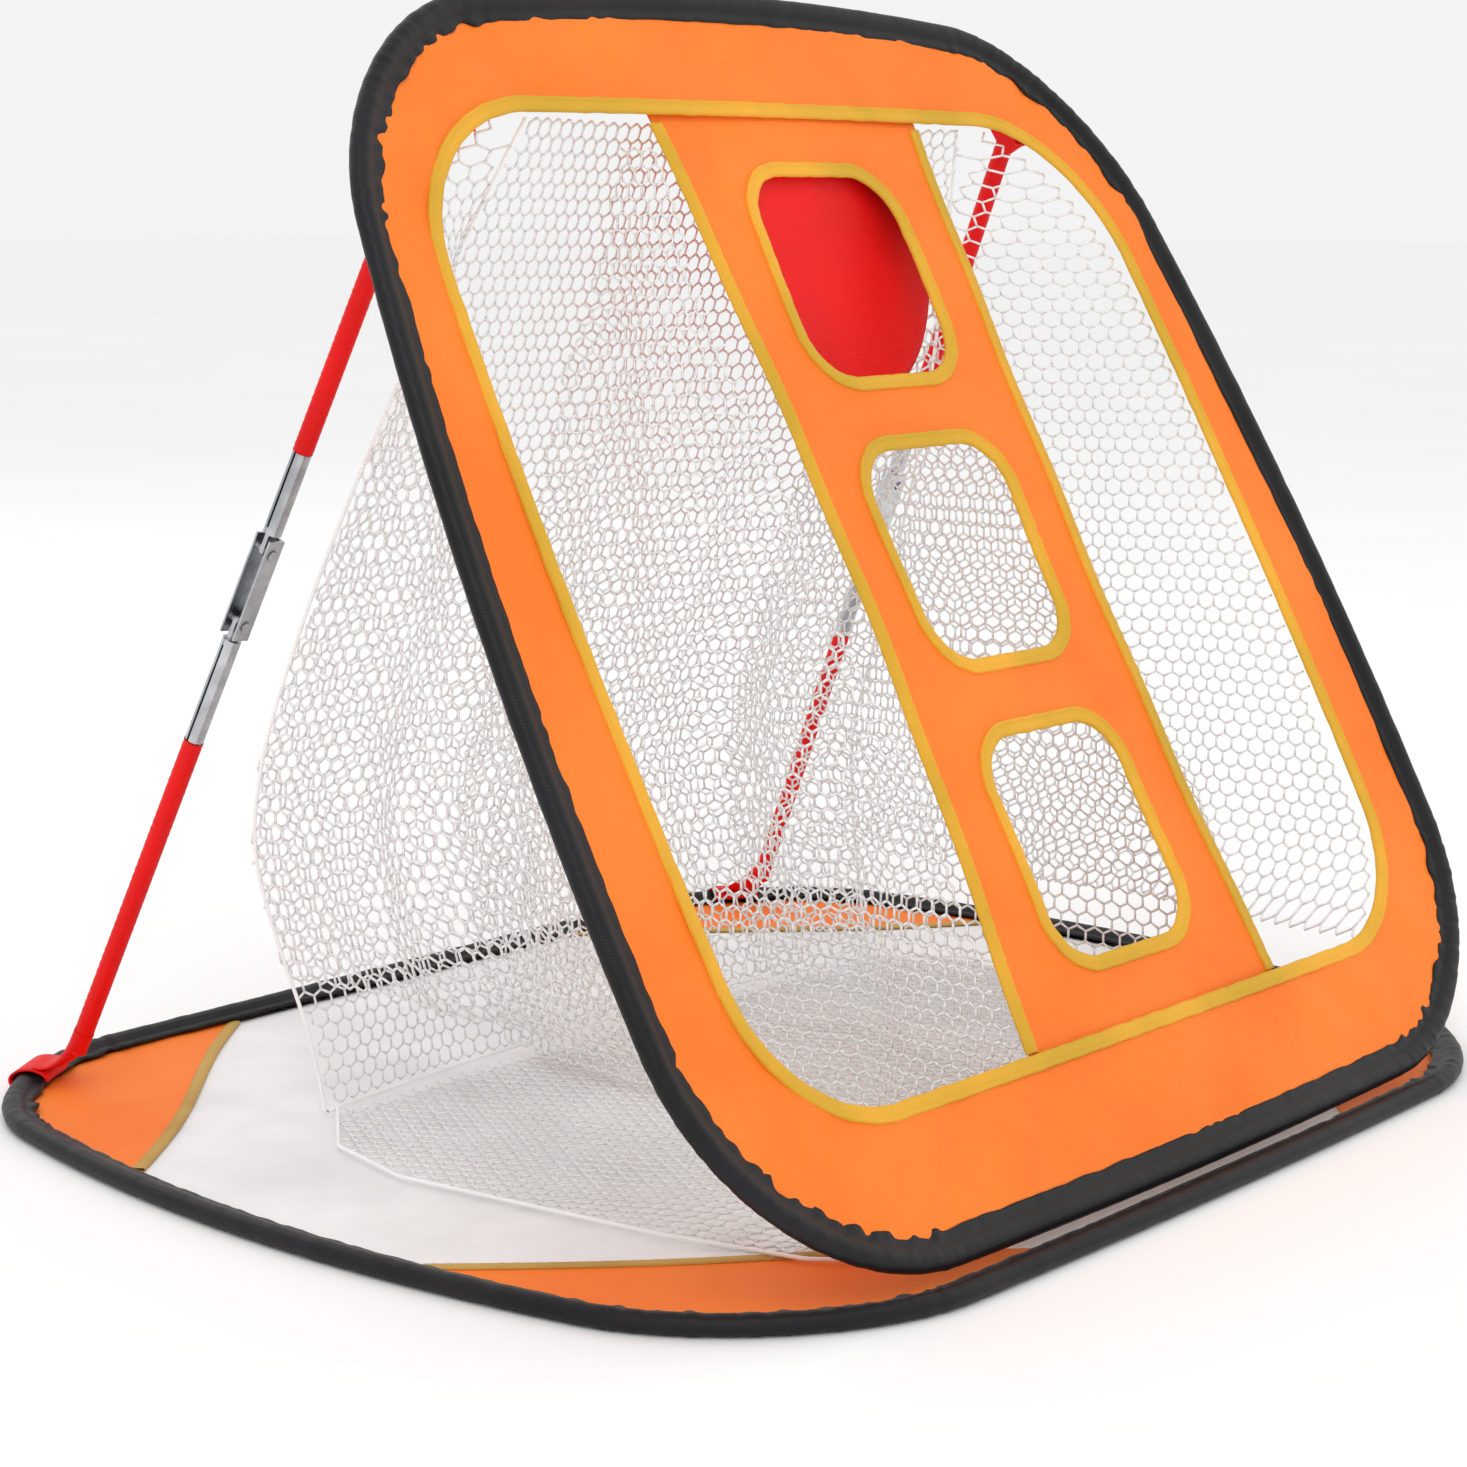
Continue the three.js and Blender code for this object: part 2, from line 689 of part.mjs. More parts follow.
// The steel channel between the two rods, open towards local +Y.
function linkChannel(from, to) {
  const { width, depth, wall } = LINK;
  const middle = (from + to) / 2;
  const length = to - from;
  return cut(
    box(0, 0, middle, width, depth, length),
    box(0, wall, middle, width - 2 * wall, depth, length + 2 * OVERCUT),
    pinHole(from + PIN.inset),
    pinHole(to - PIN.inset),
  );
}

// A rolled ferrule on a rod's end. Its shoulder faces the link and carries a flat tongue with a
// round nose that turns on the link's pin.
function ferrule(rodEnd, shoulder, pin) {
  const toLink = Math.sign(pin - shoulder);
  const low = Math.min(rodEnd, shoulder);
  const high = Math.max(rodEnd, shoulder);
  const root = shoulder - toLink * FERRULE.plug;
  const plug = rod(Math.min(root, shoulder), Math.max(root, shoulder), FERRULE.radius - GAP);
  const tongue = box(0, 0, (root + pin) / 2, TONGUE.thick, TONGUE.width, Math.abs(pin - root));
  const nose = crossBar(TONGUE.width / 2, TONGUE.thick, pin);
  const tube = rod(low, high, FERRULE.radius, FERRULE.bore, FERRULE.slit);
  return cut(join(tube, plug, tongue, nose), pinHole(pin));
}

// Where a strut's foot and head are, as world points.
function strutEnds(side) {
  const head = behindPanel(STRUT_HEAD.up, STRUT_HEAD.behind);
  return [
    new THREE.Vector3(side * STRUT_FOOT.x, STRUT_FOOT.y, STRUT_FOOT.z),
    new THREE.Vector3(side * STRUT_HEAD.x, head.x, head.y),
  ];
}

// A strut, drawn along local +Z from its foot.
function strut(hand, side) {
  const [foot, head] = strutEnds(side);
  const axis = head.clone().sub(foot);
  const length = axis.length();
  axis.normalize();
  const across = new THREE.Vector3(1, 0, 0).addScaledVector(axis, -axis.x).normalize();
  const group = new THREE.Group();
  group.position.copy(foot);
  group.setRotationFromMatrix(
    new THREE.Matrix4().makeBasis(across, axis.clone().cross(across), axis),
  );
  const at = Object.fromEntries(
    Object.entries(ALONG).map(([place, share]) => [place, share * length]),
  );
  const lowerPin = at.linkLow + PIN.inset;
  const upperPin = at.linkHigh - PIN.inset;
  const { radius, sleeveRadius, sleeveBore, slit, end } = ROD;
  const top = length - end;
  // The link folds away from the bag, so its open side faces outwards.
  const outwards = (geometry) => geometry.rotateZ((-side * Math.PI) / 2);
  const pieces = {
    lower_rod: [rod(end, at.ferruleLow + FERRULE.overlap, radius, 0, 0, 10), GLASS_FIBRE],
    lower_sleeve: [rod(end, at.ferruleLow - GAP, sleeveRadius, sleeveBore, slit), RED],
    lower_ferrule: [ferrule(at.ferruleLow, at.linkLow - SHOULDER_GAP, lowerPin), ZINC],
    link_channel: [linkChannel(at.linkLow, at.linkHigh), ZINC],
    link_lower_pin: [rivet(lowerPin), ZINC],
    link_upper_pin: [rivet(upperPin), ZINC],
    upper_ferrule: [ferrule(at.ferruleHigh, at.linkHigh + SHOULDER_GAP, upperPin), ZINC],
    upper_rod: [rod(at.ferruleHigh - FERRULE.overlap, top, radius, 0, 0, 10), GLASS_FIBRE],
    upper_sleeve: [rod(at.ferruleHigh + GAP, top, sleeveRadius, sleeveBore, slit), RED],
  };
  for (const [piece, [geometry, material]] of Object.entries(pieces)) {
    group.add(named(`${hand}_${piece}`, outwards(geometry), material));
  }
  return group;
}

// The fabric loop that holds a strut's foot to the base: a flat strap over the base sleeve.
function footStrap(side) {
  const top = SLEEVE.thick + GAP;
  return box(
    side * STRUT_FOOT.x,
    STRUT_FOOT.y + STRAP.back,
    top + STRAP.thick / 2,
    STRAP.width,
    STRAP.length,
    STRAP.thick,
  );
}

// ---------------------------------------------------------------- the whole net
const net = new THREE.Group();
net.position.y = SLEEVE.width / 2;
net.add(
  ...hoopParts("base", baseOutline, SLEEVE.thick / 2, BASE_FLOOR_Z),
  ...basePieces(),
  named("hinge_seam", hingeSeam(), BLACK),
  frontPanel(),
  ...nettingBag(),
  ...SIDES.map(([hand, side]) => strut(hand, side)),
  ...SIDES.map(([hand, side]) => named(`${hand}_foot_strap`, footStrap(side), RED)),
);

export default net;
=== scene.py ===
"""Golf chipping net: cloth, netting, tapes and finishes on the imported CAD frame.

Lengths in the constants are millimetres; meshes are written in metres. The row frame has +X to the
golfer's right, +Y away from the golfer and +Z up, with the ground at z = 0. Shapes are drawn with
y = 0 at the base sleeve's inner edge; to_row() moves them to the row's origin under its middle.
"""

import bpy
import numpy as np
from mathutils import Matrix, Vector


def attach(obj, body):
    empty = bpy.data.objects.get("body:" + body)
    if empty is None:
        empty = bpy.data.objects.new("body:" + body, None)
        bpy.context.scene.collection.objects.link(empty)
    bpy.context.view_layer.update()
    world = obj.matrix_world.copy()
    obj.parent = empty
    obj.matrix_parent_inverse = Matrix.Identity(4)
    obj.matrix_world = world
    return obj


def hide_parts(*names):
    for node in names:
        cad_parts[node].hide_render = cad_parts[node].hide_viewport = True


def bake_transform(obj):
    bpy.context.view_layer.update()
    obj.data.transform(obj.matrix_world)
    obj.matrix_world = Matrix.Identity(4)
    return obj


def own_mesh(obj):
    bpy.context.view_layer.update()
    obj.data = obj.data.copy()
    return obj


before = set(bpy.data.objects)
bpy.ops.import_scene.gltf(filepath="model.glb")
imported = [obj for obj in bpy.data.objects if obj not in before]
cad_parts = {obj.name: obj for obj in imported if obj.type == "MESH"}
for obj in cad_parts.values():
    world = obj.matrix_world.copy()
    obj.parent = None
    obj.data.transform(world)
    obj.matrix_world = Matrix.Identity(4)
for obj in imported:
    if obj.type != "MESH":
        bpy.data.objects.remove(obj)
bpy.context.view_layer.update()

# ------------------------------------------------------------------ sizes shared with the CAD
FRONT_HOOP = dict(width=545, length=548, near=108, far=98, side=22, low=6, high=20, taper=-0.042)
BASE_HOOP = dict(width=558, length=518, near=94, far=90, side=46, low=6, high=0, taper=0.023)
OPENING = dict(width=468, length=438, near=62, far=76, side=8, low=1, high=2, taper=0.0)
OPENING_START = 68.0
TILT = np.radians(61.2)
HINGE = (2.4, 7.0)
SLEEVE_WIDTH = 15.0
STRIP_X, STRIP_HALF, STRIP_FLARE, STRIP_BEHIND = 16.0, 87.0, 10.0, 2.3
HOLE = dict(width=98, length=102, near=24, far=24, side=0, low=0, high=0, taper=0.0)
HOLE_CENTRES = (150.0, 289.0, 428.0)
BINDING_WIDTH = 7.0
FLAP_X, FLAP_HALF, FLAP_DEPTH, FLAP_TOP = 27.0, 77.0, 112.0, 488.0
FLAP_SWING, FLAP_BEHIND = 15.0, 5.2
FLAP_FULLNESS = 0.8
STRUT_FOOT = (247.0, 462.0, 16.0)
STRUT_HEAD = (204.0, 512.0, 12.0)
ORIGIN_SHIFT = np.array([0, SLEEVE_WIDTH / 2, 0])
SIDES = (("left", -1), ("right", 1))
PANEL_MIDDLE = 285.0  # height up the panel of the point its cloth is drawn round
BASE_MIDDLE = 244.0  # distance from the front of the point the base cloth is drawn round
BAG_TOP, BAG_BELLY = 452.0, 165.0  # heights of the bag's top and of its widest part


# ------------------------------------------------------------------ mesh helpers
def to_row(points):
    """Drawn points in millimetres as row-frame points in metres."""
    return (np.asarray(points, float).reshape(-1, 3) + ORIGIN_SHIFT) / 1000


def mesh_object(name, points, faces, material, smooth=True):
    """A mesh object from points in millimetres and a list of faces."""
    mesh = bpy.data.meshes.new(name)
    faces = faces if isinstance(faces, list) else faces.tolist()
    mesh.from_pydata(to_row(points).tolist(), [], faces)
    mesh.update()
    if smooth:
        mesh.polygons.foreach_set("use_smooth", [True] * len(mesh.polygons))
    obj = bpy.data.objects.new(name, mesh)
    bpy.context.scene.collection.objects.link(obj)
    mesh.materials.append(material)
    return obj


def grid_faces(rows, columns, close_rows=False, close_columns=False):
    """Quads over a grid of points stored row by row, optionally joined end to end."""
    r = np.arange(rows if close_rows else rows - 1)
    c = np.arange(columns if close_columns else columns - 1)
    rr, cc = np.meshgrid(r, c, indexing="ij")
    nr, nc = (rr + 1) % rows, (cc + 1) % columns
    quads = np.stack([rr * columns + cc, nr * columns + cc, nr * columns + nc, rr * columns + nc], -1)
    return quads.reshape(-1, 4)


def add_thickness(obj, mm):
    """Gives a single-layer cloth its thickness, both ways from the layer."""
    solid = obj.modifiers.new("thickness", "SOLIDIFY")
    solid.thickness = mm / 1000
    solid.offset = 0
    return obj


def waves(t, period, seed, octaves=4):
    """A smooth repeating wobble in -1..1 along t: a sum of sines, each weaker than the last.

    Each starts at a random place and makes a whole number of turns over t from 0 to 1, so that a
    closed loop joins smoothly. The number grows from one sine to the next, give or take a random part.
    """
    rng = np.random.default_rng(seed)
    total = np.zeros_like(t, dtype=float)
    weight = 0.0
    for k in range(octaves):
        turns = max(1, round(period * (1 + 0.45 * k) * rng.uniform(0.85, 1.15)))
        gain = 0.75**k
        total += gain * np.sin(2 * np.pi * (turns * t + rng.uniform()))
        weight += gain
    return total / weight


# ------------------------------------------------------------------ outlines
def hoop_outline(hoop, count, inset=0.0):
    """Points and outward directions along a rounded rectangle with bowed, tapering sides.

    With u from -1 to 1 across and v from -1 to 1 along, x is scaled by 1 + taper v and moved out by
    side u (1 - v squared); y is moved out by low or high times v (1 - u squared).
    """
    w, l = hoop["width"] - 2 * inset, hoop["length"] - 2 * inset
    near, far = hoop["near"] - inset, hoop["far"] - inset
    pts = []
    corners = [
        (w / 2 - near, near, near, -90),
        (w / 2 - far, l - far, far, 0),
        (far - w / 2, l - far, far, 90),
        (near - w / 2, near, near, 180),
    ]
    for x, y, radius, start in corners:
        a = np.radians(start + np.linspace(0, 90, 60))
        pts.append(np.stack([x + radius * np.cos(a), y + radius * np.sin(a)], -1))
    loop = np.concatenate(pts)
    loop = resample(loop, 4 * count)
    u = loop[:, 0] / (w / 2)
    v = loop[:, 1] / l * 2 - 1
    x = loop[:, 0] * (1 + hoop["taper"] * v) + hoop["side"] * u * (1 - v * v)
    bow = np.where(v > 0, hoop["high"], hoop["low"])
    y = loop[:, 1] + inset + hoop["low"] + bow * v * (1 - u * u)
    out = resample(np.stack([x, y], -1), count)
    step = np.roll(out, -1, 0) - np.roll(out, 1, 0)
    step /= np.linalg.norm(step, axis=1)[:, None]
    return out, np.stack([step[:, 1], -step[:, 0]], -1)


def resample(loop, count):
    """A closed loop of points resampled to even spacing."""
    closed = np.concatenate([loop, loop[:1]])
    length = np.concatenate([[0], np.cumsum(np.linalg.norm(np.diff(closed, axis=0), axis=1))])
    at = np.linspace(0, length[-1], count, endpoint=False)
    return np.stack([np.interp(at, length, closed[:, k]) for k in range(closed.shape[1])], -1)


def align(loop, centre):
    """A closed loop resampled to even angles about a centre, so that two loops pair up.

    The new radius at an angle is read off between the loop's own points on either side of it.
    """
    rel = loop - centre
    angle = np.unwrap(np.arctan2(rel[:, 1], rel[:, 0]))
    order = np.argsort(np.mod(angle, 2 * np.pi))
    a = np.mod(angle, 2 * np.pi)[order]
    r = np.hypot(rel[:, 0], rel[:, 1])[order]
    even = np.linspace(0, 2 * np.pi, len(loop), endpoint=False)
    radius = np.interp(even, a, r, period=2 * np.pi)
    return np.stack([radius * np.cos(even), radius * np.sin(even)], -1) + centre


def on_panel(x, up, ahead=0.0):
    """Drawn points for places on the leaning panel: across, up it and in front of it.

    Up runs along the panel at the tilt above the ground from the hinge, ahead square to it.
    """
    x, up, ahead = np.broadcast_arrays(x, up, ahead)
    c, s = np.cos(TILT), np.sin(TILT)
    return np.stack([x, HINGE[0] + up * c - ahead * s, HINGE[1] + up * s + ahead * c], -1)


def on_ground(x, y, z=0.0):
    """Drawn points for places on the base."""
    x, y, z = np.broadcast_arrays(x, y, z)
    return np.stack([x, y, z], -1)


def base_outline(count, inset=0.0):
    """The base hoop's outline, drawn so that its sleeve's inner edge is at y = 0."""
    pts, out = hoop_outline(BASE_HOOP, count, inset)
    return pts - [0, SLEEVE_WIDTH], out


def turn_share(out):
    """How sharply a closed outline turns at each point, from 0 on a straight to 1 in a corner.

    The change of the outward direction over twelve points, as a share of the greatest, stretched so
    that 0.12 gives 0 and 0.67 gives 1, then averaged with its two neighbours twelve times.
    """
    change = np.linalg.norm(np.roll(out, -6, 0) - np.roll(out, 6, 0), axis=1)
    share = np.clip((change / change.max() - 0.12) / 0.55, 0, 1)
    for _ in range(12):
        share = (np.roll(share, 1) + share + np.roll(share, -1)) / 3
    return share


# ------------------------------------------------------------------ materials
def new_material(name):
    """An empty node material: its nodes, its links and its shader, ready for colour."""
    material = bpy.data.materials.new(name)
    material.use_nodes = True
    nodes = material.node_tree.nodes
    nodes.clear()
    shader = nodes.new("ShaderNodeBsdfPrincipled")
    output = nodes.new("ShaderNodeOutputMaterial")
    material.node_tree.links.new(shader.outputs[0], output.inputs[0])
    return material, nodes, material.node_tree.links, shader


def srgb(r, g, b):
    """Linear colour from 0-255 display values."""
    v = np.array([r, g, b]) / 255
    lin = np.where(v <= 0.04045, v / 12.92, ((v + 0.055) / 1.055) ** 2.4)
    return (*map(float, lin), 1.0)


def mottled(nodes, links, low, high, scale, detail=3.0):
    """A colour that drifts between two tones with noise in object space."""
    coordinate = nodes.new("ShaderNodeTexCoord")
    noise = nodes.new("ShaderNodeTexNoise")
    noise.inputs["Scale"].default_value = scale
    noise.inputs["Detail"].default_value = detail
    ramp = nodes.new("ShaderNodeValToRGB")
    ramp.color_ramp.elements[0].position = 0.35
    ramp.color_ramp.elements[0].color = low
    ramp.color_ramp.elements[1].position = 0.65
    ramp.color_ramp.elements[1].color = high
    links.new(coordinate.outputs["Object"], noise.inputs["Vector"])
    links.new(noise.outputs[0], ramp.inputs[0])
    return ramp.outputs[0], coordinate


def weave_bump(nodes, links, coordinate, threads_per_metre, strength, distance=0.0002):
    """Two crossed sets of threads as a bump, in object space."""
    mix = nodes.new("ShaderNodeMath")
    mix.operation = "ADD"
    for slot, direction in enumerate(("X", "Z")):
        wave = nodes.new("ShaderNodeTexWave")
        wave.bands_direction = direction
        wave.inputs["Scale"].default_value = threads_per_metre
        wave.inputs["Distortion"].default_value = 0.6
        links.new(coordinate.outputs["Object"], wave.inputs["Vector"])
        links.new(wave.outputs["Fac"], mix.inputs[slot])
    bump = nodes.new("ShaderNodeBump")
    bump.inputs["Strength"].default_value = strength
    bump.inputs["Distance"].default_value = distance
    links.new(mix.outputs[0], bump.inputs["Height"])
    return bump.outputs[0]


def cloth(name, low, high, roughness, weave=260.0, strength=0.35, scale=14.0):
    """Woven cloth: two drifting tones and a crossed-thread bump."""
    material, nodes, links, shader = new_material(name)
    colour, coordinate = mottled(nodes, links, low, high, scale)
    links.new(colour, shader.inputs["Base Color"])
    links.new(weave_bump(nodes, links, coordinate, weave, strength), shader.inputs["Normal"])
    shader.inputs["Roughness"].default_value = roughness
    shader.inputs["Specular IOR Level"].default_value = 0.25
    return material


def metal(name, low, high, rough_low, rough_high, metallic=1.0):
    """A smooth finish whose tone and roughness both drift."""
    material, nodes, links, shader = new_material(name)
    colour, coordinate = mottled(nodes, links, low, high, 60.0)
    links.new(colour, shader.inputs["Base Color"])
    noise = nodes.new("ShaderNodeTexNoise")
    noise.inputs["Scale"].default_value = 180.0
    spread = nodes.new("ShaderNodeMapRange")
    spread.inputs["To Min"].default_value = rough_low
    spread.inputs["To Max"].default_value = rough_high
    links.new(coordinate.outputs["Object"], noise.inputs["Vector"])
    links.new(noise.outputs[0], spread.inputs["Value"])
    links.new(spread.outputs[0], shader.inputs["Roughness"])
    shader.inputs["Metallic"].default_value = metallic
    return material


ORANGE = cloth("orange_polyester", srgb(250, 122, 34), srgb(254, 132, 42), 0.6)
YELLOW = cloth("yellow_tape", srgb(214, 168, 46), srgb(244, 178, 54), 0.6, weave=420.0, strength=0.5)
GOLD = cloth("gold_hem_tape", srgb(186, 146, 70), srgb(206, 166, 86), 0.6, weave=420.0, strength=0.5)
BLACK = cloth("black_sleeve_cloth", srgb(17, 16, 18), srgb(28, 26, 29), 0.45, strength=0.25)
RED = cloth("red_cloth", srgb(222, 4, 6), srgb(238, 10, 10), 0.55)
WHITE = cloth("white_floor_cloth", srgb(232, 232, 232), srgb(246, 246, 246), 0.7)
THREAD = cloth("white_net_thread", srgb(249, 249, 248), srgb(255, 255, 254), 0.6, strength=0.2)
ZINC = metal("zinc_plate", srgb(168, 170, 174), srgb(206, 207, 210), 0.2, 0.38)
STEEL = metal("spring_steel", srgb(110, 112, 116), srgb(150, 152, 156), 0.3, 0.5)
FIBRE = metal("glass_fibre_rod", srgb(28, 28, 28), srgb(52, 52, 50), 0.3, 0.45, metallic=0.0)

for node_name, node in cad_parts.items():
    if "ferrule" in node_name or "link" in node_name or node_name.endswith("crimp"):
        finish = ZINC
    elif node_name.endswith("wire"):
        finish = STEEL
    elif node_name.endswith("rod"):
        finish = FIBRE
    else:
        finish = BLACK
    node.data.materials.clear()
    node.data.materials.append(finish)


# ------------------------------------------------------------------ sleeves
def sleeve(name, outline, place, body, nodes, seed, count=1100):
    """A cloth tunnel round the hoop wire: a fat round outer part and a flat sewn inner lip.

    The tunnel's section is 5 + 4.7 cos a inwards and 4.2 sin a across for a from 70 to 290 degrees,
    and the lip tapers on from it to 14.9. Waves along the hoop change the tunnel's thickness and the
    lip's edge, up to four times as much in the corners, where the cloth is gathered.
    """
    pts, out = outline(count)
    t = np.arange(count) / count
    turn = turn_share(out)
    gather = 0.25 + 0.75 * turn
    angle = np.radians(np.linspace(70, 290, 13))
    round_u = 5.0 + 4.7 * np.cos(angle)
    round_n = 4.2 * np.sin(angle)
    section = np.concatenate(
        [
            np.stack([round_u, round_n], -1),
            [[8.6, -3.3], [10.4, -1.5], [11.2, -1.0], [13.0, -0.9], [14.9, -0.6]],
            [[14.9, 0.6], [13.0, 0.9], [11.2, 1.0], [10.4, 1.5], [8.6, 3.3]],
        ]
    )
    u = np.repeat(section[None, :, 0], count, 0)
    n = np.repeat(section[None, :, 1], count, 0)
    fine = waves(t, 190, seed)
    medium = waves(t, 105, seed + 1)
    slow = waves(t, 56, seed + 2)
    lip = np.clip((u - 9) / 6, 0, 1)
    tunnel = 1 - np.clip((u - 7) / 4, 0, 1)
    n = n * (1 + tunnel * 0.10 * (gather * fine + 0.5 * slow)[:, None])
    n = n + lip * (0.9 * gather * medium)[:, None]
    u = u + lip * (0.4 + 1.9 * gather * slow + 0.5 * gather * medium)[:, None]
    u = u - tunnel * np.clip(3.5 - u, 0, 4) * 0.07 * (gather * medium)[:, None]
    points = place(
        pts[:, None, 0] - u * out[:, None, 0], pts[:, None, 1] - u * out[:, None, 1], n
    )
    obj = mesh_object(
        name, points.reshape(-1, 3), grid_faces(count, len(section), True, True), BLACK
    )
    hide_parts(*nodes)
    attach(obj, body)


def front_outline(count, inset=0.0):
    """The front hoop's outline, on the panel."""
    return hoop_outline(FRONT_HOOP, count, inset)


sleeve("front_sleeve_cloth", front_outline, on_panel, "front_panel", ["front_sleeve"], 3)
sleeve(
    "base_sleeve_cloth",
    base_outline,
    lambda x, y, n: on_ground(x, y, 4.5 + n),
    "base",
    ["base_sleeve"],
    8,
)


# ------------------------------------------------------------------ front panel cloth
def panel_ripple(x, up):
    """Slight tension ripples of the panel cloth: sines of the angle round its middle.

    Nine broad ones run all round; 34 and 57 finer ones grow towards the four corners.
    """
    angle = np.arctan2(up - PANEL_MIDDLE, x)
    radius = np.hypot(x, up - PANEL_MIDDLE)
    corner = np.abs(np.sin(2 * angle)) ** 3
    return (
        0.9 * np.sin(9 * angle + 0.01 * radius)
        + 1.2 * corner * np.sin(34 * angle + 1.0)
        + 0.5 * corner * np.sin(57 * angle)
    )


def panel_cloth():
    """The panel's border: a ruled ring between the opening's edge and the sleeve's lip.

    Each row is a share of the way from the inner loop to the outer one, at the same angle round the
    panel's middle; the ripple fades as a half sine to the 0.7 towards both edges.
    """
    count, rows = 480, 15
    outer, _ = front_outline(count, 10.0)
    inner, _ = hoop_outline(OPENING, count, -2.0)
    inner = inner + [0, OPENING_START]
    outer = align(outer, [0, PANEL_MIDDLE])
    inner = align(inner, [0, PANEL_MIDDLE])
    share = np.linspace(0, 1, rows)[:, None, None]
    flat = inner[None] * (1 - share) + outer[None] * share
    fade = np.sin(np.pi * np.linspace(0, 1, rows))[:, None] ** 0.7
    points = on_panel(flat[..., 0], flat[..., 1], fade * panel_ripple(flat[..., 0], flat[..., 1]))
    obj = mesh_object(
        "front_panel_cloth", points.reshape(-1, 3), grid_faces(rows, count, False, True), ORANGE
    )
    add_thickness(obj, 0.5)
    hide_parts("front_panel_fabric")
    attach(obj, "front_panel")
    return obj


panel = panel_cloth()


def tape_ring(name, outline, ahead, nodes, seed, count=420):
    """A folded tape round a cloth edge: a flat oval section, with a raised seam on its outer rim.

    ahead(x, up) is how far in front of the panel the cloth is that the tape is sewn to.
    """
    pts, out = outline(count)
    t = np.arange(count) / count
    section = [
        [0.0, -0.5], [1.2, -1.2], [3.6, -1.3], [5.6, -1.2], [7.0, -0.7], [7.3, 0.6], [6.9, 1.5],
        [6.2, 1.9], [5.5, 1.5], [4.9, 1.0], [3.4, 1.3], [1.2, 1.2], [0.0, 0.5],
    ]
    section = np.array(section) * [BINDING_WIDTH / 7.0, 1.0]
    u = np.repeat(section[None, :, 0], count, 0) + 0.25 * waves(t, count / 14, seed)[:, None]
    n = np.repeat(section[None, :, 1], count, 0)
    n = n * (1 + 0.12 * waves(t, count / 6, seed + 4)[:, None])
    x, up = pts[:, None, 0] + u * out[:, None, 0], pts[:, None, 1] + u * out[:, None, 1]
    n = n + ahead(x, up) + 0.15 * waves(t, 16, seed + 7)[:, None]
    points = on_panel(x, up, n)
    obj = mesh_object(
        name, points.reshape(-1, 3), grid_faces(count, len(section), True, True), YELLOW
    )
    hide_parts(*nodes)
    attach(obj, "front_panel")


def opening_outline(count, inset=0.0):
    """The large opening's edge, on the panel."""
    pts, out = hoop_outline(OPENING, count, inset)
    return pts + [0, OPENING_START], out


tape_ring("opening_tape", opening_outline, lambda x, up: 0.0, ["opening_binding"], 21, 900)


# ------------------------------------------------------------------ target strip
def strip_half(up):
    """Half the strip's width at a height: least in the opening's middle, growing as a square."""
    share = (up - OPENING_START) / OPENING["length"]
    return STRIP_HALF + STRIP_FLARE * (2 * share - 1) ** 2


def strip_ripple(x, up):
    """Slight waves of the strip's cloth: a broad slanting sine and a finer one up the strip."""
    return 0.8 * np.sin(x / 33 + up / 70) + 0.5 * np.sin(up / 17 + x / 60)


def strip_cloth():
    """The strip with its three holes: one cell round each hole, ruled from the hole to its edge.

    A cell ends at the strip's long edges, and half way to the next hole or at the strip's end. Its
    reach at an angle is the nearer of the two. The long edge flares, so that is found by six repeats.
    """
    count, rows = 256, 9
    cuts = [
        OPENING_START - 6,
        sum(HOLE_CENTRES[:2]) / 2,
        sum(HOLE_CENTRES[1:]) / 2,
        OPENING_START + OPENING["length"] + 6,
    ]
    points, faces = [], []
    for k, centre in enumerate(HOLE_CENTRES):
        hole, _ = hoop_outline(HOLE, count, -2.0)
        hole = align(hole - [0, HOLE["length"] / 2], [0, 0])
        angle = np.linspace(0, 2 * np.pi, count, endpoint=False)
        c, s = np.cos(angle), np.sin(angle)
        top, bottom = cuts[k + 1] - centre, cuts[k] - centre
        reach_up = np.where(s > 1e-6, top / np.maximum(s, 1e-6), np.inf)
        reach_down = np.where(s < -1e-6, bottom / np.minimum(s, -1e-6), np.inf)
        reach = np.minimum(reach_up, reach_down)
        side = np.full(count, STRIP_HALF)
        for _ in range(6):
            across = side / np.maximum(np.abs(c), 1e-6)
            up = centre + np.minimum(reach, across) * s
            side = strip_half(up) - 1.5
        radius = np.minimum(reach, side / np.maximum(np.abs(c), 1e-6))
        outer = np.stack([radius * c, radius * s], -1)
        share = np.linspace(0, 1, rows)[:, None, None]
        flat = hole[None] * (1 - share) + outer[None] * share
        x, up = flat[..., 0] + STRIP_X, flat[..., 1] + centre
        ahead = strip_ripple(x, up) - STRIP_BEHIND
        faces.append(grid_faces(rows, count, False, True) + len(points) * rows * count)
        points.append(on_panel(x, up, ahead).reshape(-1, 3))
    obj = mesh_object(
        "target_strip_cloth", np.concatenate(points), np.concatenate(faces), ORANGE
    )
    add_thickness(obj, 0.5).modifiers["thickness"].use_rim = False
    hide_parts("target_strip")
    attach(obj, "front_panel")
    return obj


strip = strip_cloth()


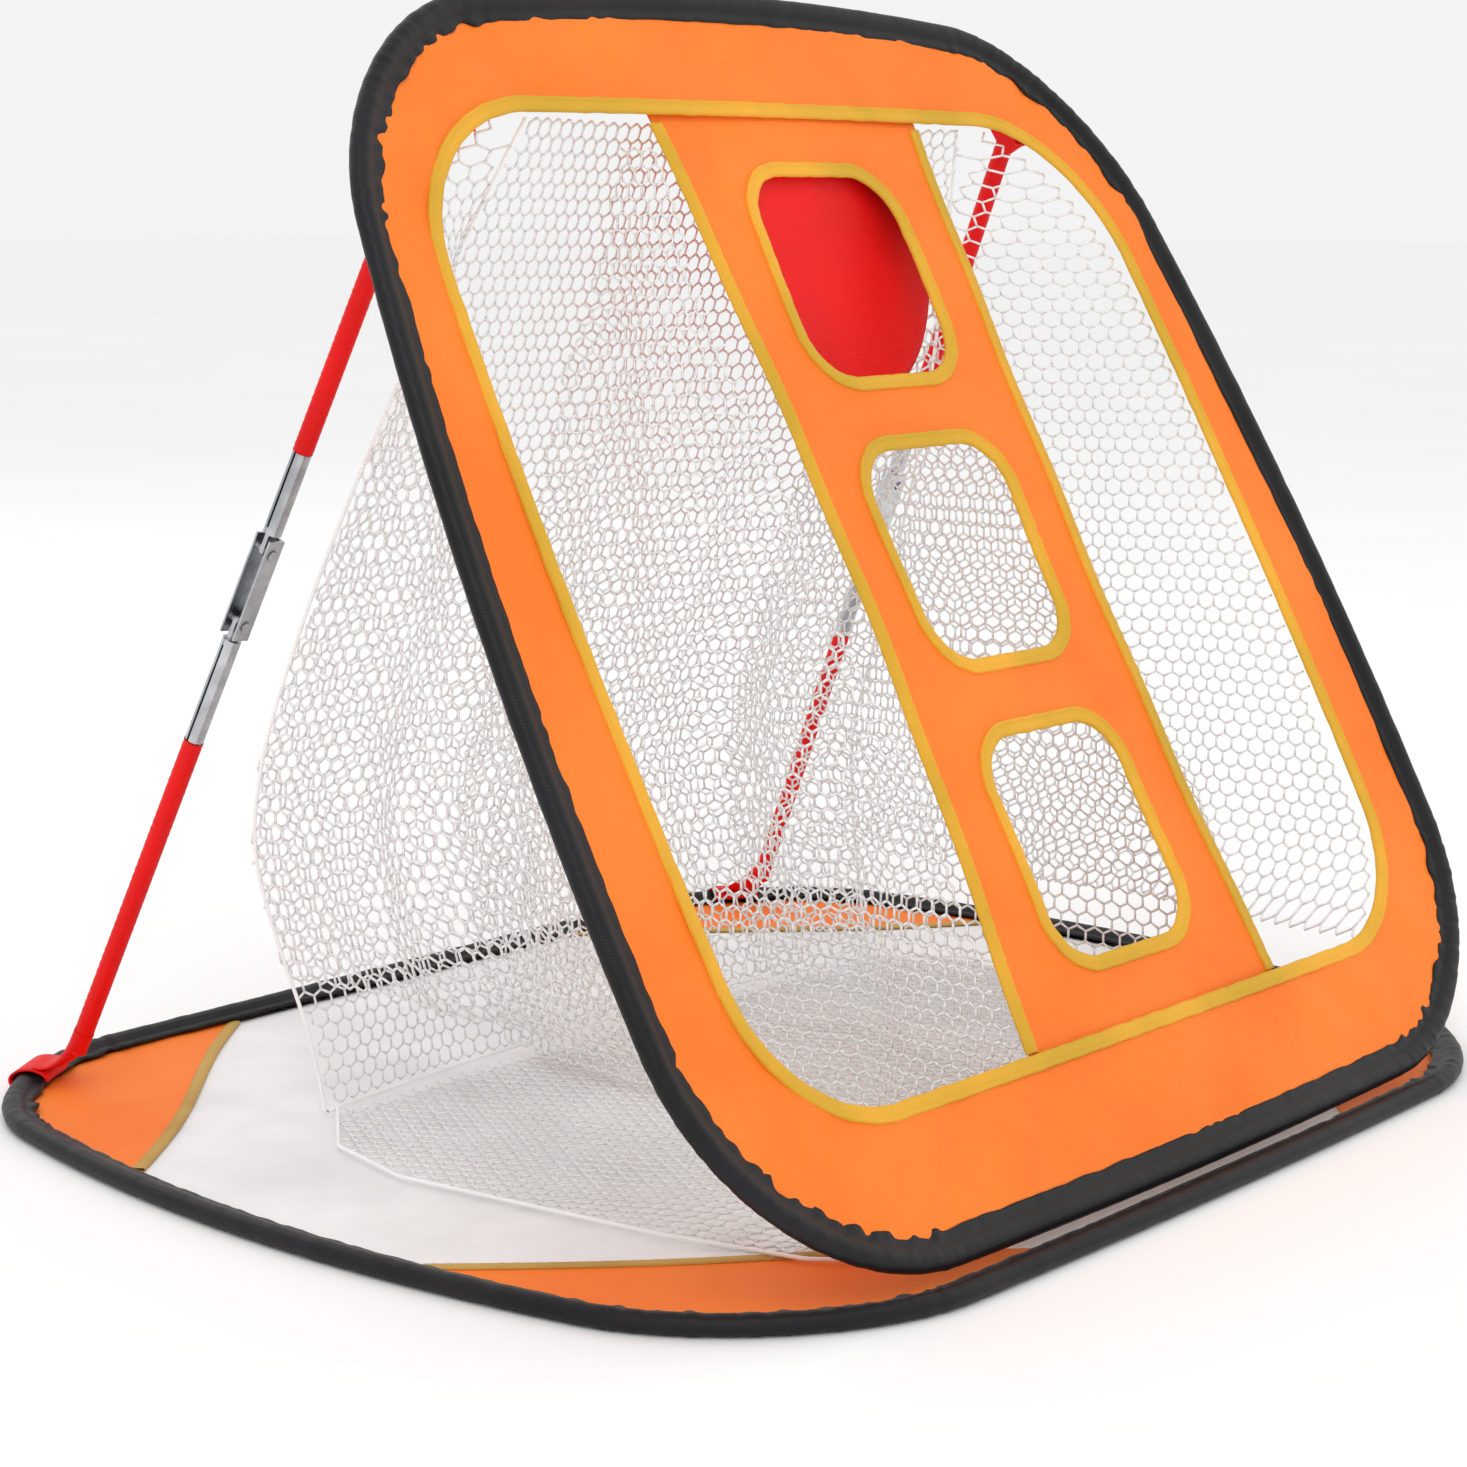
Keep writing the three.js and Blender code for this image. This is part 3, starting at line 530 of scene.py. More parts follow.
def strip_tape(side, node):
    """A folded tape up one long edge of the strip: an oval section carried up the edge."""
    count = 220
    up = np.linspace(OPENING_START + 1, OPENING_START + OPENING["length"] - 0.5, count)
    edge = STRIP_X + side * strip_half(up)
    section = np.array(
        [
            [0.3, -0.4], [0, 0.3], [0.4, 1.1], [4.6, 1.0], [5.2, 1.5], [5.9, 1.8],
            [6.6, 1.5], [7, 0.4], [6.8, -0.8], [5.8, -1.1], [1, -1.1],
        ]
    )
    t = np.linspace(0, 1, count)
    u = section[None, :, 0] + 0.25 * waves(t, 40, 31 + side)[:, None]
    n = section[None, :, 1] * (1 + 0.12 * waves(t, 70, 37 + side)[:, None])
    x = edge[:, None] - side * u
    ahead = n - STRIP_BEHIND + strip_ripple(edge, up)[:, None]
    points = on_panel(x, np.repeat(up[:, None], len(section), 1), ahead)
    faces = grid_faces(count, len(section), False, True)
    if side > 0:
        faces = faces[:, ::-1]
    obj = mesh_object(f"strip_tape_{node}", points.reshape(-1, 3), faces, YELLOW)
    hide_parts(f"strip_binding_{node}")
    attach(obj, "front_panel")


strip_tape(-1, "left")
strip_tape(1, "right")

for hole_name, centre in zip(("bottom", "middle", "top"), HOLE_CENTRES):

    def hole_outline(count, inset=0.0, centre=centre):
        """A target hole's edge, on the strip."""
        pts, out = hoop_outline(HOLE, count, inset)
        return pts + [STRIP_X, centre - HOLE["length"] / 2], out

    tape_ring(
        f"{hole_name}_hole_tape",
        hole_outline,
        lambda x, up: strip_ripple(x, up) - STRIP_BEHIND,
        [f"target_binding_{hole_name}"],
        41 + int(centre),
        300,
    )


def red_flap():
    """The red cloth behind the top hole: a full half-ellipse hung from its straight top edge.

    A point at share r and angle a is half width r cos a across and depth r sin a down, with the
    cosine and the sine raised to the fullness. It swings back, and billows as a half sine downwards.
    """
    rows, columns = 26, 40
    r = np.linspace(0, 1, rows)[:, None]
    a = np.linspace(np.pi, 2 * np.pi, columns)[None]
    x = FLAP_HALF * r * np.sign(np.cos(a)) * np.abs(np.cos(a)) ** FLAP_FULLNESS
    down = -FLAP_DEPTH * r * np.abs(np.sin(a)) ** FLAP_FULLNESS
    swing = np.radians(FLAP_SWING)
    billow = 4.0 * (1 - (x / FLAP_HALF) ** 2) * np.sin(np.pi * np.clip(-down / FLAP_DEPTH, 0, 1))
    up = FLAP_TOP + down * np.cos(swing)
    behind = FLAP_BEHIND - down * np.sin(swing) + billow * 0.4
    points = on_panel(FLAP_X + x, up, -behind)
    obj = mesh_object(
        "red_flap_cloth", points.reshape(-1, 3), grid_faces(rows, columns)[:, ::-1], RED
    )
    add_thickness(obj, 0.4)
    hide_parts("red_target_flap")
    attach(obj, "target_flap")
    anchor = to_row(on_panel(FLAP_X, FLAP_TOP, -FLAP_BEHIND))[0]
    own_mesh(obj)
    return obj


flap = red_flap()


# ------------------------------------------------------------------ base cloth
def ground_ripple(x, y):
    """Slight waves of the cloth on the ground: three sines in different directions."""
    return 0.35 * np.sin(x / 47 + y / 90) + 0.25 * np.sin(y / 31 - x / 120) + 0.15 * np.sin(x / 15)


def floor_cloth():
    """The base cloth: rings at even shares of the way from the middle out to the sleeve's lip."""
    count, rows = 420, 40
    edge, _ = base_outline(count, 10.5)
    middle = np.array([0, BASE_MIDDLE])
    share = np.linspace(0.0, 1, rows)[1:, None, None]
    flat = middle + (align(edge, middle) - middle)[None] * share
    x, y = flat[..., 0], flat[..., 1]
    z = 1.5 + 0.6 * ground_ripple(x, y)
    points = np.concatenate([[[middle[0], middle[1], 1.5]], on_ground(x, y, z).reshape(-1, 3)])
    ring = grid_faces(rows - 1, count, False, True) + 1
    around = np.arange(count)
    fan = np.stack([np.zeros(count, int), 1 + around, 1 + (around + 1) % count], -1)
    obj = mesh_object("base_floor_cloth", points, fan.tolist() + ring.tolist(), WHITE)
    add_thickness(obj, 0.4)
    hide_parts("base_floor")
    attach(obj, "base")


floor_cloth()

# Where each corner patch's hem starts at the side and ends at the front or rear edge.
HEM_LINES = {"rear": ((302.0, 343.0), (124.0, 494.0)), "front": ((301.0, 166.0), (118.0, 3.0))}


def hem_curve(side, end, count):
    """A corner patch's inner edge: a straight line with a gentle S, from the side to the end."""
    (x0, y0), (x1, y1) = HEM_LINES[end]
    t = np.linspace(0, 1, count)
    x = x0 + (x1 - x0) * t
    y = y0 + (y1 - y0) * t
    along = np.array([x1 - x0, y1 - y0]) / np.hypot(x1 - x0, y1 - y0)
    bend = 2.2 * np.sin(2 * np.pi * t) + 2.0 * np.sin(np.pi * t)
    return np.stack([side * (x - along[1] * bend), y + along[0] * bend], -1)


def corner_patch(name, side, end):
    """An orange corner patch and the gold tape on its hem.

    The patch is ruled: each row is a share of the way from the hem to the sleeve's inner edge. The
    tape is a flat oval section, 6 wide and 1.3 thick, carried along the hem.
    """
    count, rows = 70, 22
    hem = hem_curve(side, end, count)
    edge, _ = base_outline(1200, 10.8)
    first = int(np.argmin(np.linalg.norm(edge - hem[0], axis=1)))
    last = int(np.argmin(np.linalg.norm(edge - hem[-1], axis=1)))
    step = (last - first) % len(edge)
    if step > len(edge) / 2:
        step -= len(edge)
    arc = edge[(first + np.round(np.linspace(0, step, count)).astype(int)) % len(edge)]
    share = np.linspace(0, 1, rows)[:, None, None]
    flat = hem[None] * (1 - share) + arc[None] * share
    x, y = flat[..., 0], flat[..., 1]
    rays = np.arctan2(y - BASE_MIDDLE, np.abs(x))
    z = 2.3 + 0.6 * ground_ripple(x, y) + 0.2 * np.sin(40 * rays) * share[..., 0]
    faces = grid_faces(rows, count)
    if (side > 0) == (end == "rear"):
        faces = faces[:, ::-1]
    obj = mesh_object(f"{name}_corner_cloth", on_ground(x, y, z).reshape(-1, 3), faces, ORANGE)
    add_thickness(obj, 0.4)
    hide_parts(f"{name}_corner_panel")
    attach(obj, "base")
    steps = 160
    t = np.linspace(0, 1, steps)
    # A front tape stops fourteen steps short, clear of the front sleeve.
    line = hem_curve(side, end, steps if end == "rear" else steps + 14)[:steps]
    step = np.gradient(line, axis=0)
    step /= np.linalg.norm(step, axis=1)[:, None]
    inward = np.stack([-step[:, 1], step[:, 0]], -1)
    section = np.array(
        [[-3, 0.1], [-2.6, 0.7], [0, 0.8], [2.6, 0.7], [3, 0.1], [2.6, -0.5], [-2.6, -0.5]]
    )
    u = section[None, :, 0] + 0.3 * waves(t, 30, 5)[:, None]
    height = 2.7 + 0.6 * ground_ripple(line[:, 0], line[:, 1])[:, None] + section[None, :, 1]
    px = line[:, None, 0] + u * inward[:, None, 0]
    py = line[:, None, 1] + u * inward[:, None, 1]
    tape = mesh_object(
        f"{name}_hem_tape",
        on_ground(px, py, height).reshape(-1, 3),
        grid_faces(steps, len(section), False, True),
        GOLD,
    )
    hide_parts(f"{name}_corner_hem")
    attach(tape, "base")


for hand, side in SIDES:
    for end in ("rear", "front"):
        corner_patch(f"{end}_{hand}", side, end)

# ------------------------------------------------------------------ netting
# The bag's back and underside, seen from the side, are curves through (y, z) points.
BACK_PROFILE = np.array(
    [
        [253.4, 452], [272, 400], [306, 305], [336, 225], [357, 165],
        [366, 122], [360, 82], [349, 42], [341, 4],
    ]
)


def curve_through(points, count):
    """A smooth curve through points, evenly spaced along its length, and that length.

    Cubic pieces join the points, with the slope at each point taken from its two neighbours.
    """
    points = np.asarray(points, float)
    t = np.concatenate([[0], np.cumsum(np.linalg.norm(np.diff(points, axis=0), axis=1))])
    slope = np.gradient(points, t, axis=0)
    fine = np.linspace(0, t[-1], 600)
    k = np.clip(np.searchsorted(t, fine, side="right") - 1, 0, len(t) - 2)
    h = (t[k + 1] - t[k])[:, None]
    s = ((fine - t[k]) / (t[k + 1] - t[k]))[:, None]
    curve = (
        (2 * s**3 - 3 * s**2 + 1) * points[k]
        + (s**3 - 2 * s**2 + s) * h * slope[k]
        + (-2 * s**3 + 3 * s**2) * points[k + 1]
        + (s**3 - s**2) * h * slope[k + 1]
    )
    length = np.concatenate([[0], np.cumsum(np.linalg.norm(np.diff(curve, axis=0), axis=1))])
    at = np.linspace(0, length[-1], count)
    return np.stack([np.interp(at, length, curve[:, j]) for j in range(2)], -1), length[-1]


BACK_CURVE, BACK_LENGTH = curve_through(BACK_PROFILE, 400)
BACK_MIDDLE = 226.0  # flat place of the bag's middle plane on the back sheet


def net_half(z):
    """Half the bag's width at a height: 197 at the ground, 218 at the belly and 152 at the top.

    Below the belly it grows by a smooth step; above it narrows as the height's share to the 1.7.
    """
    upper = 218 + (152 - 218) * np.clip((z - BAG_BELLY) / (BAG_TOP - BAG_BELLY), 0, 1) ** 1.7
    s = np.clip(z / BAG_BELLY, 0, 1)
    lower = 197 + 21 * s * s * (3 - 2 * s)
    return np.where(z > BAG_BELLY, upper, lower)


def back_y(z):
    """How far back the bag's back is at a height, in its middle plane."""
    order = np.argsort(BACK_CURVE[:, 1])
    return np.interp(z, BACK_CURVE[order, 1], BACK_CURVE[order, 0])


def panel_y(z, behind):
    """The y of the plane a distance behind the leaning panel, at a height."""
    return HINGE[0] + (z - HINGE[1] + behind * np.cos(TILT)) / np.tan(TILT) + behind * np.sin(TILT)


def mouth_half(z):
    """Half the opening's width at a height, following its rounded corners."""
    pts, _ = opening_outline(600, -3.0)
    right = pts[pts[:, 0] > 0]
    order = np.argsort(right[:, 1])
    up = (z - HINGE[1]) / np.sin(TILT)
    return np.interp(up, right[order, 1], right[order, 0])


CELL = 8.2  # across the flats of a mesh
UPRIGHT_NET = (400, 460)  # flat width and height laid out for a side or a divider
THREAD_MM = 1.35


def strands(node, width, height, surface, inside, seed=0):
    """Hexagonal netting: a honeycomb laid out flat, lifted onto a surface, each side a thin bar.

    surface(a, b) gives drawn points for flat places a across and b along; inside(a, b) says which
    places belong to the net. A bar is a three-sided prism with closed ends, its corners half a
    thread from the strand's line at 90, 210 and 330 degrees.
    """
    side = CELL / np.sqrt(3)
    columns = int(width / CELL) + 3
    rows = int(height / (1.5 * side)) + 3
    i, j = np.meshgrid(np.arange(-1, columns), np.arange(-1, rows), indexing="ij")
    rng = np.random.default_rng(seed)
    cx = (i + 0.5 * (j % 2)) * CELL
    cy = j * 1.5 * side
    low = np.stack([cx, cy - side], -1)
    lower_right = np.stack([cx + CELL / 2, cy - side / 2], -1)
    upper_right = np.stack([cx + CELL / 2, cy + side / 2], -1)
    lower_left = np.stack([cx - CELL / 2, cy - side / 2], -1)
    bars = np.concatenate(
        [
            np.stack([low, lower_right], -2).reshape(-1, 2, 2),
            np.stack([lower_right, upper_right], -2).reshape(-1, 2, 2),
            np.stack([lower_left, low], -2).reshape(-1, 2, 2),
        ]
    )
    keep = inside(bars[:, 0, 0], bars[:, 0, 1]) & inside(bars[:, 1, 0], bars[:, 1, 1])
    bars = bars[keep]
    drift = 0.5 * np.sin(bars[..., ::-1] / 23.0 + 1.3) + 0.35 * np.sin(bars / 11.0 + rng.uniform())
    ends = surface(bars[..., 0] + drift[..., 0], bars[..., 1] + drift[..., 1])
    eps = 0.5
    da = surface(bars[:, 0, 0] + eps, bars[:, 0, 1]) - surface(bars[:, 0, 0] - eps, bars[:, 0, 1])
    db = surface(bars[:, 0, 0], bars[:, 0, 1] + eps) - surface(bars[:, 0, 0], bars[:, 0, 1] - eps)
    normal = np.cross(da, db)
    normal /= np.maximum(np.linalg.norm(normal, axis=1)[:, None], 1e-9)
    along = ends[:, 1] - ends[:, 0]
    along /= np.maximum(np.linalg.norm(along, axis=1)[:, None], 1e-9)
    across = np.cross(along, normal)
    ring = []
    for angle in np.radians([90, 210, 330]):
        offset = 0.5 * THREAD_MM * (np.cos(angle) * across + np.sin(angle) * normal)
        ring.append(np.stack([ends[:, 0] + offset, ends[:, 1] + offset], 1))
    ring = np.stack(ring, 2)
    count = len(ends)
    base = np.arange(count)[:, None] * 6
    quads = np.concatenate([base + [0, 1, 4, 3], base + [1, 2, 5, 4], base + [2, 0, 3, 5]])
    caps = np.concatenate([base + [2, 1, 0], base + [3, 4, 5]])
    obj = mesh_object(f"{node}_mesh", ring, quads.tolist() + caps.tolist(), THREAD)
    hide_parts(node)
    fold_with_panel(obj)


def fold_with_panel(obj):
    """Bakes a piece's placement into its mesh and reads its points back in drawn millimetres; the
    points are not changed, so the piece stays where it was drawn.
    """
    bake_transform(obj)
    co = np.empty(len(obj.data.vertices) * 3, np.float32)
    obj.data.vertices.foreach_get("co", co)
    co = co.reshape(-1, 3) * 1000 - ORIGIN_SHIFT


def back_surface(a, b):
    """The bag's back: b along the back curve and a across it, bowed and slightly slack.

    It bows back by 14 (1 - the square of the share across), with a slight sine down it, and hangs in
    upright folds: a sum of two sines across that fades at the top and at the foot.
    """
    t = np.clip(b / BACK_LENGTH, 0, 1) * (len(BACK_CURVE) - 1)
    y = np.interp(t, np.arange(len(BACK_CURVE)), BACK_CURVE[:, 0])
    z = np.interp(t, np.arange(len(BACK_CURVE)), BACK_CURVE[:, 1])
    half = net_half(z)
    x = a - BACK_MIDDLE
    share = np.clip(x / half, -1.05, 1.05)
    drape = np.clip(b / BACK_LENGTH, 0, 1) * np.clip((BACK_LENGTH - b) / 60, 0, 1)
    fold = np.sin(x / 15 + 0.9 * np.sin(b / 120) + b / 140) + 0.5 * np.sin(x / 8.3 - b / 90)
    y = y + 14 * (1 - share**2) - 2.0 + 5.0 * drape * fold + 1.5 * np.sin(b / 41)
    return np.stack([x, y, np.maximum(z, 4.2)], -1)


def back_inside(a, b):
    """Places within the bag's width at their height."""
    t = np.clip(b / BACK_LENGTH, 0, 1) * (len(BACK_CURVE) - 1)
    z = np.interp(t, np.arange(len(BACK_CURVE)), BACK_CURVE[:, 1])
    return (np.abs(a - BACK_MIDDLE) < net_half(z)) & (b > 0) & (b < BACK_LENGTH)


strands("net_back", 2 * BACK_MIDDLE, BACK_LENGTH, back_surface, back_inside)


def side_surface(side):
    """One side of the bag: a shares out the way from the opening's edge to the back's, b is height.

    It sags inwards by a half sine both ways and hangs in upright folds, a sum of two sines.
    """

    def surface(a, b):
        """Drawn points of this side for flat places a back and b up."""
        z = np.clip(b, 3.5, BAG_TOP)
        front, rear = panel_y(z, 4), back_y(z)
        share = np.clip((a - front) / np.maximum(rear - front, 12), 0, 1)
        x = mouth_half(z) * (1 - share) + net_half(z) * share
        x = x - 7 * np.sin(np.pi * share) * np.sin(np.pi * np.clip(z / BAG_TOP, 0, 1))
        fold = np.sin(a / 13 + z / 95) + 0.5 * np.sin(a / 7.5 - z / 70)
        x = x + 3.6 * fold * np.sin(np.pi * share) * np.clip(1.2 - z / BAG_TOP, 0.2, 1)
        return np.stack([side * x, a, z], -1)

    return surface


def side_inside(a, b):
    """Places between the panel and the bag's back."""
    return (b > 4) & (b < 450) & (a > panel_y(b, 3)) & (a < back_y(b) + 1) & (mouth_half(b) > 150)


for hand, side in SIDES:
    strands(f"net_{hand}_side", *UPRIGHT_NET, side_surface(side), side_inside, seed=7 + side)

FLOOR_PROFILE = np.array(
    [[40, 66], [44, 40], [52, 14], [70, 5.0], [120, 4.2], [220, 4.0], [341, 4.0]]
)
FLOOR_CURVE, FLOOR_LENGTH = curve_through(FLOOR_PROFILE, 400)
FLOOR_MIDDLE = 240.0  # flat place of the bag's middle plane on the underside


def floor_at(b):
    """The (y, z) of the underside at a distance along it."""
    t = np.clip(b / FLOOR_LENGTH, 0, 1) * (len(FLOOR_CURVE) - 1)
    return (
        np.interp(t, np.arange(len(FLOOR_CURVE)), FLOOR_CURVE[:, 0]),
        np.interp(t, np.arange(len(FLOOR_CURVE)), FLOOR_CURVE[:, 1]),
    )


def floor_half(y):
    """Half the underside's width, by straight steps from front to rear."""
    return np.interp(y, [38, 60, 120, 250, 300, 341], [178, 196, 214, 236, 226, 190])


def floor_surface(a, b):
    """The bag's underside: down from the opening's lower edge, then back along the base cloth.

    It follows the underside's curve with one slight sine across and one along.
    """
    y, z = floor_at(b)
    x = a - FLOOR_MIDDLE
    return np.stack([x, y, z + 0.5 * np.sin(x / 21) + 0.3 * np.sin(y / 17)], -1)


def floor_inside(a, b):
    """Places within the underside's width."""
    y, _ = floor_at(b)
    return (np.abs(a - FLOOR_MIDDLE) < floor_half(y)) & (b > 0) & (b < FLOOR_LENGTH)


strands("net_floor", 2 * FLOOR_MIDDLE, FLOOR_LENGTH, floor_surface, floor_inside)


def divider_surface(side):
    """An inner sheet beside the strip: upright, 9 outside its edge, with folds of three sines."""

    def surface(a, b):
        """Drawn points of this divider for flat places a back and b up."""
        fold = np.sin(a / 16 + b / 80 + side) + 0.5 * np.sin(a / 8.5 - b / 60)
        x = STRIP_X + side * (STRIP_HALF + 9) + 3 * np.sin(a / 45) + 3.0 * fold
        return np.stack([x, a, np.clip(b, 4.5, BAG_TOP)], -1)

    return surface


def divider_inside(a, b):
    """Places between the panel and the bag's back."""
    return (b > 5) & (b < 440) & (a > panel_y(b, 6)) & (a < back_y(b) + 9)


for hand, side in SIDES:
    strands(
        f"net_{hand}_divider", *UPRIGHT_NET, divider_surface(side), divider_inside, seed=17 + side
    )


def lacing(name, path, radius=0.9, sides=6):
    """A thin round lacing cord: a circle of points round each step of a path."""
    path = np.asarray(path, float)
    step = np.gradient(path, axis=0)
    step /= np.linalg.norm(step, axis=1)[:, None]
    helper = np.where(np.abs(step[:, 2:3]) > 0.9, [[1.0, 0, 0]], [[0, 0, 1.0]])
    a = np.cross(step, helper)
    a /= np.linalg.norm(a, axis=1)[:, None]
    b = np.cross(step, a)
    angle = np.linspace(0, 2 * np.pi, sides, endpoint=False)
    offset = a[:, None] * np.cos(angle)[None, :, None] + b[:, None] * np.sin(angle)[None, :, None]
    points = path[:, None] + radius * offset
    fold_with_panel(
        mesh_object(name, points, grid_faces(len(path), sides, False, True)[:, ::-1], THREAD)
    )


def bag_seams():
    """Thicker cords where the net's sheets are laced together."""
    z = np.linspace(450, 5, 160)
    y = np.linspace(44, 341, 120)
    for hand, side in SIDES:
        seam = np.stack([side * net_half(z), back_y(z) + 0.5, z], -1)
        lacing(f"net_{hand}_seam_cord", seam)
        foot = np.stack([side * floor_half(y), y, np.full(len(y), 4.6)], -1)
        lacing(f"net_{hand}_foot_cord", foot)
    x = np.linspace(-196, 196, 120)
    share = x / 197
    foot = np.stack([x, 341 + 14 * (1 - share**2), np.full(len(x), 4.6)], -1)
    lacing("net_rear_foot_cord", foot)


bag_seams()


# ------------------------------------------------------------------ strut cloth
def strut_frame(side):
    """A strut's foot, its direction and its length."""
    head = on_panel(side * STRUT_HEAD[0], STRUT_HEAD[1], -STRUT_HEAD[2])
    foot = np.array([side * STRUT_FOOT[0], STRUT_FOOT[1], STRUT_FOOT[2]])
    axis = head - foot
    length = np.linalg.norm(axis)
    return foot, axis / length, length


def strut_sleeve(name, side, start, stop, body, node, seed):
    """A tight cloth tube round a rod, closed at both ends, with faint rings where it is rucked.

    Its radius is 4.55 plus 0.14 of a wave along it, which changes a little round the tube.
    """
    foot, axis, length = strut_frame(side)
    rows, sides = 160, 20
    t = np.linspace(start, stop, rows)
    a = np.cross(axis, [1.0, 0, 0])
    a /= np.linalg.norm(a)
    b = np.cross(axis, a)
    angle = np.linspace(0, 2 * np.pi, sides, endpoint=False)
    ruck = waves(np.linspace(0, 1, rows), 34, seed)
    radius = 4.55 + 0.14 * ruck[:, None] * (1 + 0.4 * np.sin(angle + seed))[None]
    centre = foot + t[:, None] * axis
    points = (
        centre[:, None]
        + radius[..., None] * (np.cos(angle)[None, :, None] * a + np.sin(angle)[None, :, None] * b)
    )
    ring = points.reshape(-1, 3)
    ends = np.array([centre[0], centre[-1]])
    first, last = len(ring), len(ring) + 1
    k = np.arange(sides)
    low = np.stack([np.full(sides, first), (k + 1) % sides, k], -1)
    high = np.stack(
        [np.full(sides, last), (rows - 1) * sides + k, (rows - 1) * sides + (k + 1) % sides], -1
    )
    faces = grid_faces(rows, sides, False, True).tolist() + low.tolist() + high.tolist()
    obj = mesh_object(name, np.concatenate([ring, ends]), faces, RED)
    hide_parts(node)
    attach(obj, body)


def strap_spot(side):
    """Where a foot strap sits: a point on the base sleeve's outer edge, outwards and along it."""
    edge, out = base_outline(2400)
    k = int(np.argmin(np.linalg.norm(edge - [side * (STRUT_FOOT[0] + 6), 490], axis=1)))
    along = np.array([-out[k, 1], out[k, 0]])
    return edge[k], out[k], along


def strap_band(name, side, nodes):
    """The foot strap: a red band wrapped once round the base sleeve.

    A point at angle a round the band is middle + (9.4 cos a, 5.4 sin a), flattened on the ground.
    """
    spot, outward, along = strap_spot(side)
    angle = np.linspace(np.radians(-125), np.radians(178), 48)
    u = -6.5 + 9.4 * np.cos(angle)
    z = np.maximum(5.0 + 5.4 * np.sin(angle), 0.5)
    v = np.linspace(-1, 1, 9)
    ripple = 0.25 * np.sin(9 * v)[None] * np.sin(np.linspace(0, 6, len(u)))[:, None]
    px = spot[0] + u[:, None] * outward[0] + 13.0 * v[None] * along[0]
    py = spot[1] + u[:, None] * outward[1] + 13.0 * v[None] * along[1]
    points = on_ground(px, py, z[:, None] + ripple)
    obj = mesh_object(name, points, grid_faces(len(u), len(v)), RED)
    add_thickness(obj, 0.9)
    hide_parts(*nodes)
    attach(obj, "base")


def foot_neck(name, side):
    """The cloth between a strut's foot and its strap, from a round tube to a flat fold.

    A cubic curve from the strut down to the strap carries an oval section whose half width grows
    from 4.8 to 12 and whose half thickness shrinks from 4.8 to 0.8.
    """
    foot, axis, _ = strut_frame(side)
    spot, outward, along = strap_spot(side)
    on_strap = [np.array([*(spot - d * outward), z]) for d, z in ((19.0, 9.5), (9.0, 11.2))]
    c0, c1, c2, c3 = foot + 16 * axis, foot + 4 * axis, *on_strap
    t = np.linspace(0, 1, 28)[:, None]
    path = (1 - t) ** 3 * c0 + 3 * (1 - t) ** 2 * t * c1 + 3 * (1 - t) * t**2 * c2 + t**3 * c3
    step = np.gradient(path, axis=0)
    step /= np.linalg.norm(step, axis=1)[:, None]
    across = np.array([*along, 0.0])
    across = across - (step @ across)[:, None] * step
    across /= np.linalg.norm(across, axis=1)[:, None]
    through = np.cross(step, across)
    angle = np.linspace(0, 2 * np.pi, 24, endpoint=False)
    share = t * t * (3 - 2 * t)
    wide = 4.8 + 7.2 * share * (1 + 0.05 * np.sin(3 * angle + 1))
    thick = 4.8 - 4.0 * share + 0.2 * np.sin(4 * angle) * share
    points = (
        path[:, None]
        + (wide * np.cos(angle))[..., None] * across[:, None]
        + (thick * np.sin(angle))[..., None] * through[:, None]
    )
    obj = mesh_object(name, points, grid_faces(len(t), 24, False, True), RED)
    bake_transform(obj)


def corner_tab(name, side, node):
    """A folded webbing tab behind the panel's corner, beside the strut's head.

    One section is carried 25 up the panel: flat against the cloth, out 16 beside the strut's head,
    back again and flat to its other end, with a slight sine up the webbing.
    """
    v = np.linspace(-1, 1, 9)
    across = np.concatenate(
        [np.linspace(-13, -6.5, 5), [-7.0] * 4, [-6.2] * 4, np.linspace(-4, 13, 9)]
    )
    depth = np.concatenate([np.full(5, 2.8), [5, 9, 13, 16.0], [16.0, 12, 8, 4.0], np.full(9, 2.8)])
    x = side * (STRUT_HEAD[0] + across[:, None] + 0 * v[None])
    up = STRUT_HEAD[1] + 12.5 * v[None] + 0 * across[:, None]
    points = on_panel(x, up, -(depth[:, None] + 0.3 * np.sin(5 * v)[None]))
    faces = grid_faces(len(across), len(v))
    obj = mesh_object(name, points.reshape(-1, 3), faces, RED, smooth=False)
    add_thickness(obj, 0.8)
    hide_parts(node)
    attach(obj, "front_panel")


# Shares of a strut's length at which its two ferrules start and end.
FERRULE_LOW, FERRULE_HIGH = 0.366, 0.670
for hand, side in SIDES:
    _, _, length = strut_frame(side)
    spans = (
        ("lower", 5, FERRULE_LOW * length - 0.3, 51),
        ("upper", FERRULE_HIGH * length + 0.3, length - 5, 57),
    )
    for half, start, stop, seed in spans:
        strut = f"{hand}_{half}_strut"
        strut_sleeve(f"{strut}_cloth", side, start, stop, strut, f"{hand}_{half}_sleeve", seed)
    strap_band(f"{hand}_foot_strap_band", side, [f"{hand}_foot_strap"])
    foot_neck(f"{hand}_foot_neck_cloth", side)
    corner_tab(f"{hand}_corner_tab_cloth", side, f"{hand}_corner_tab")

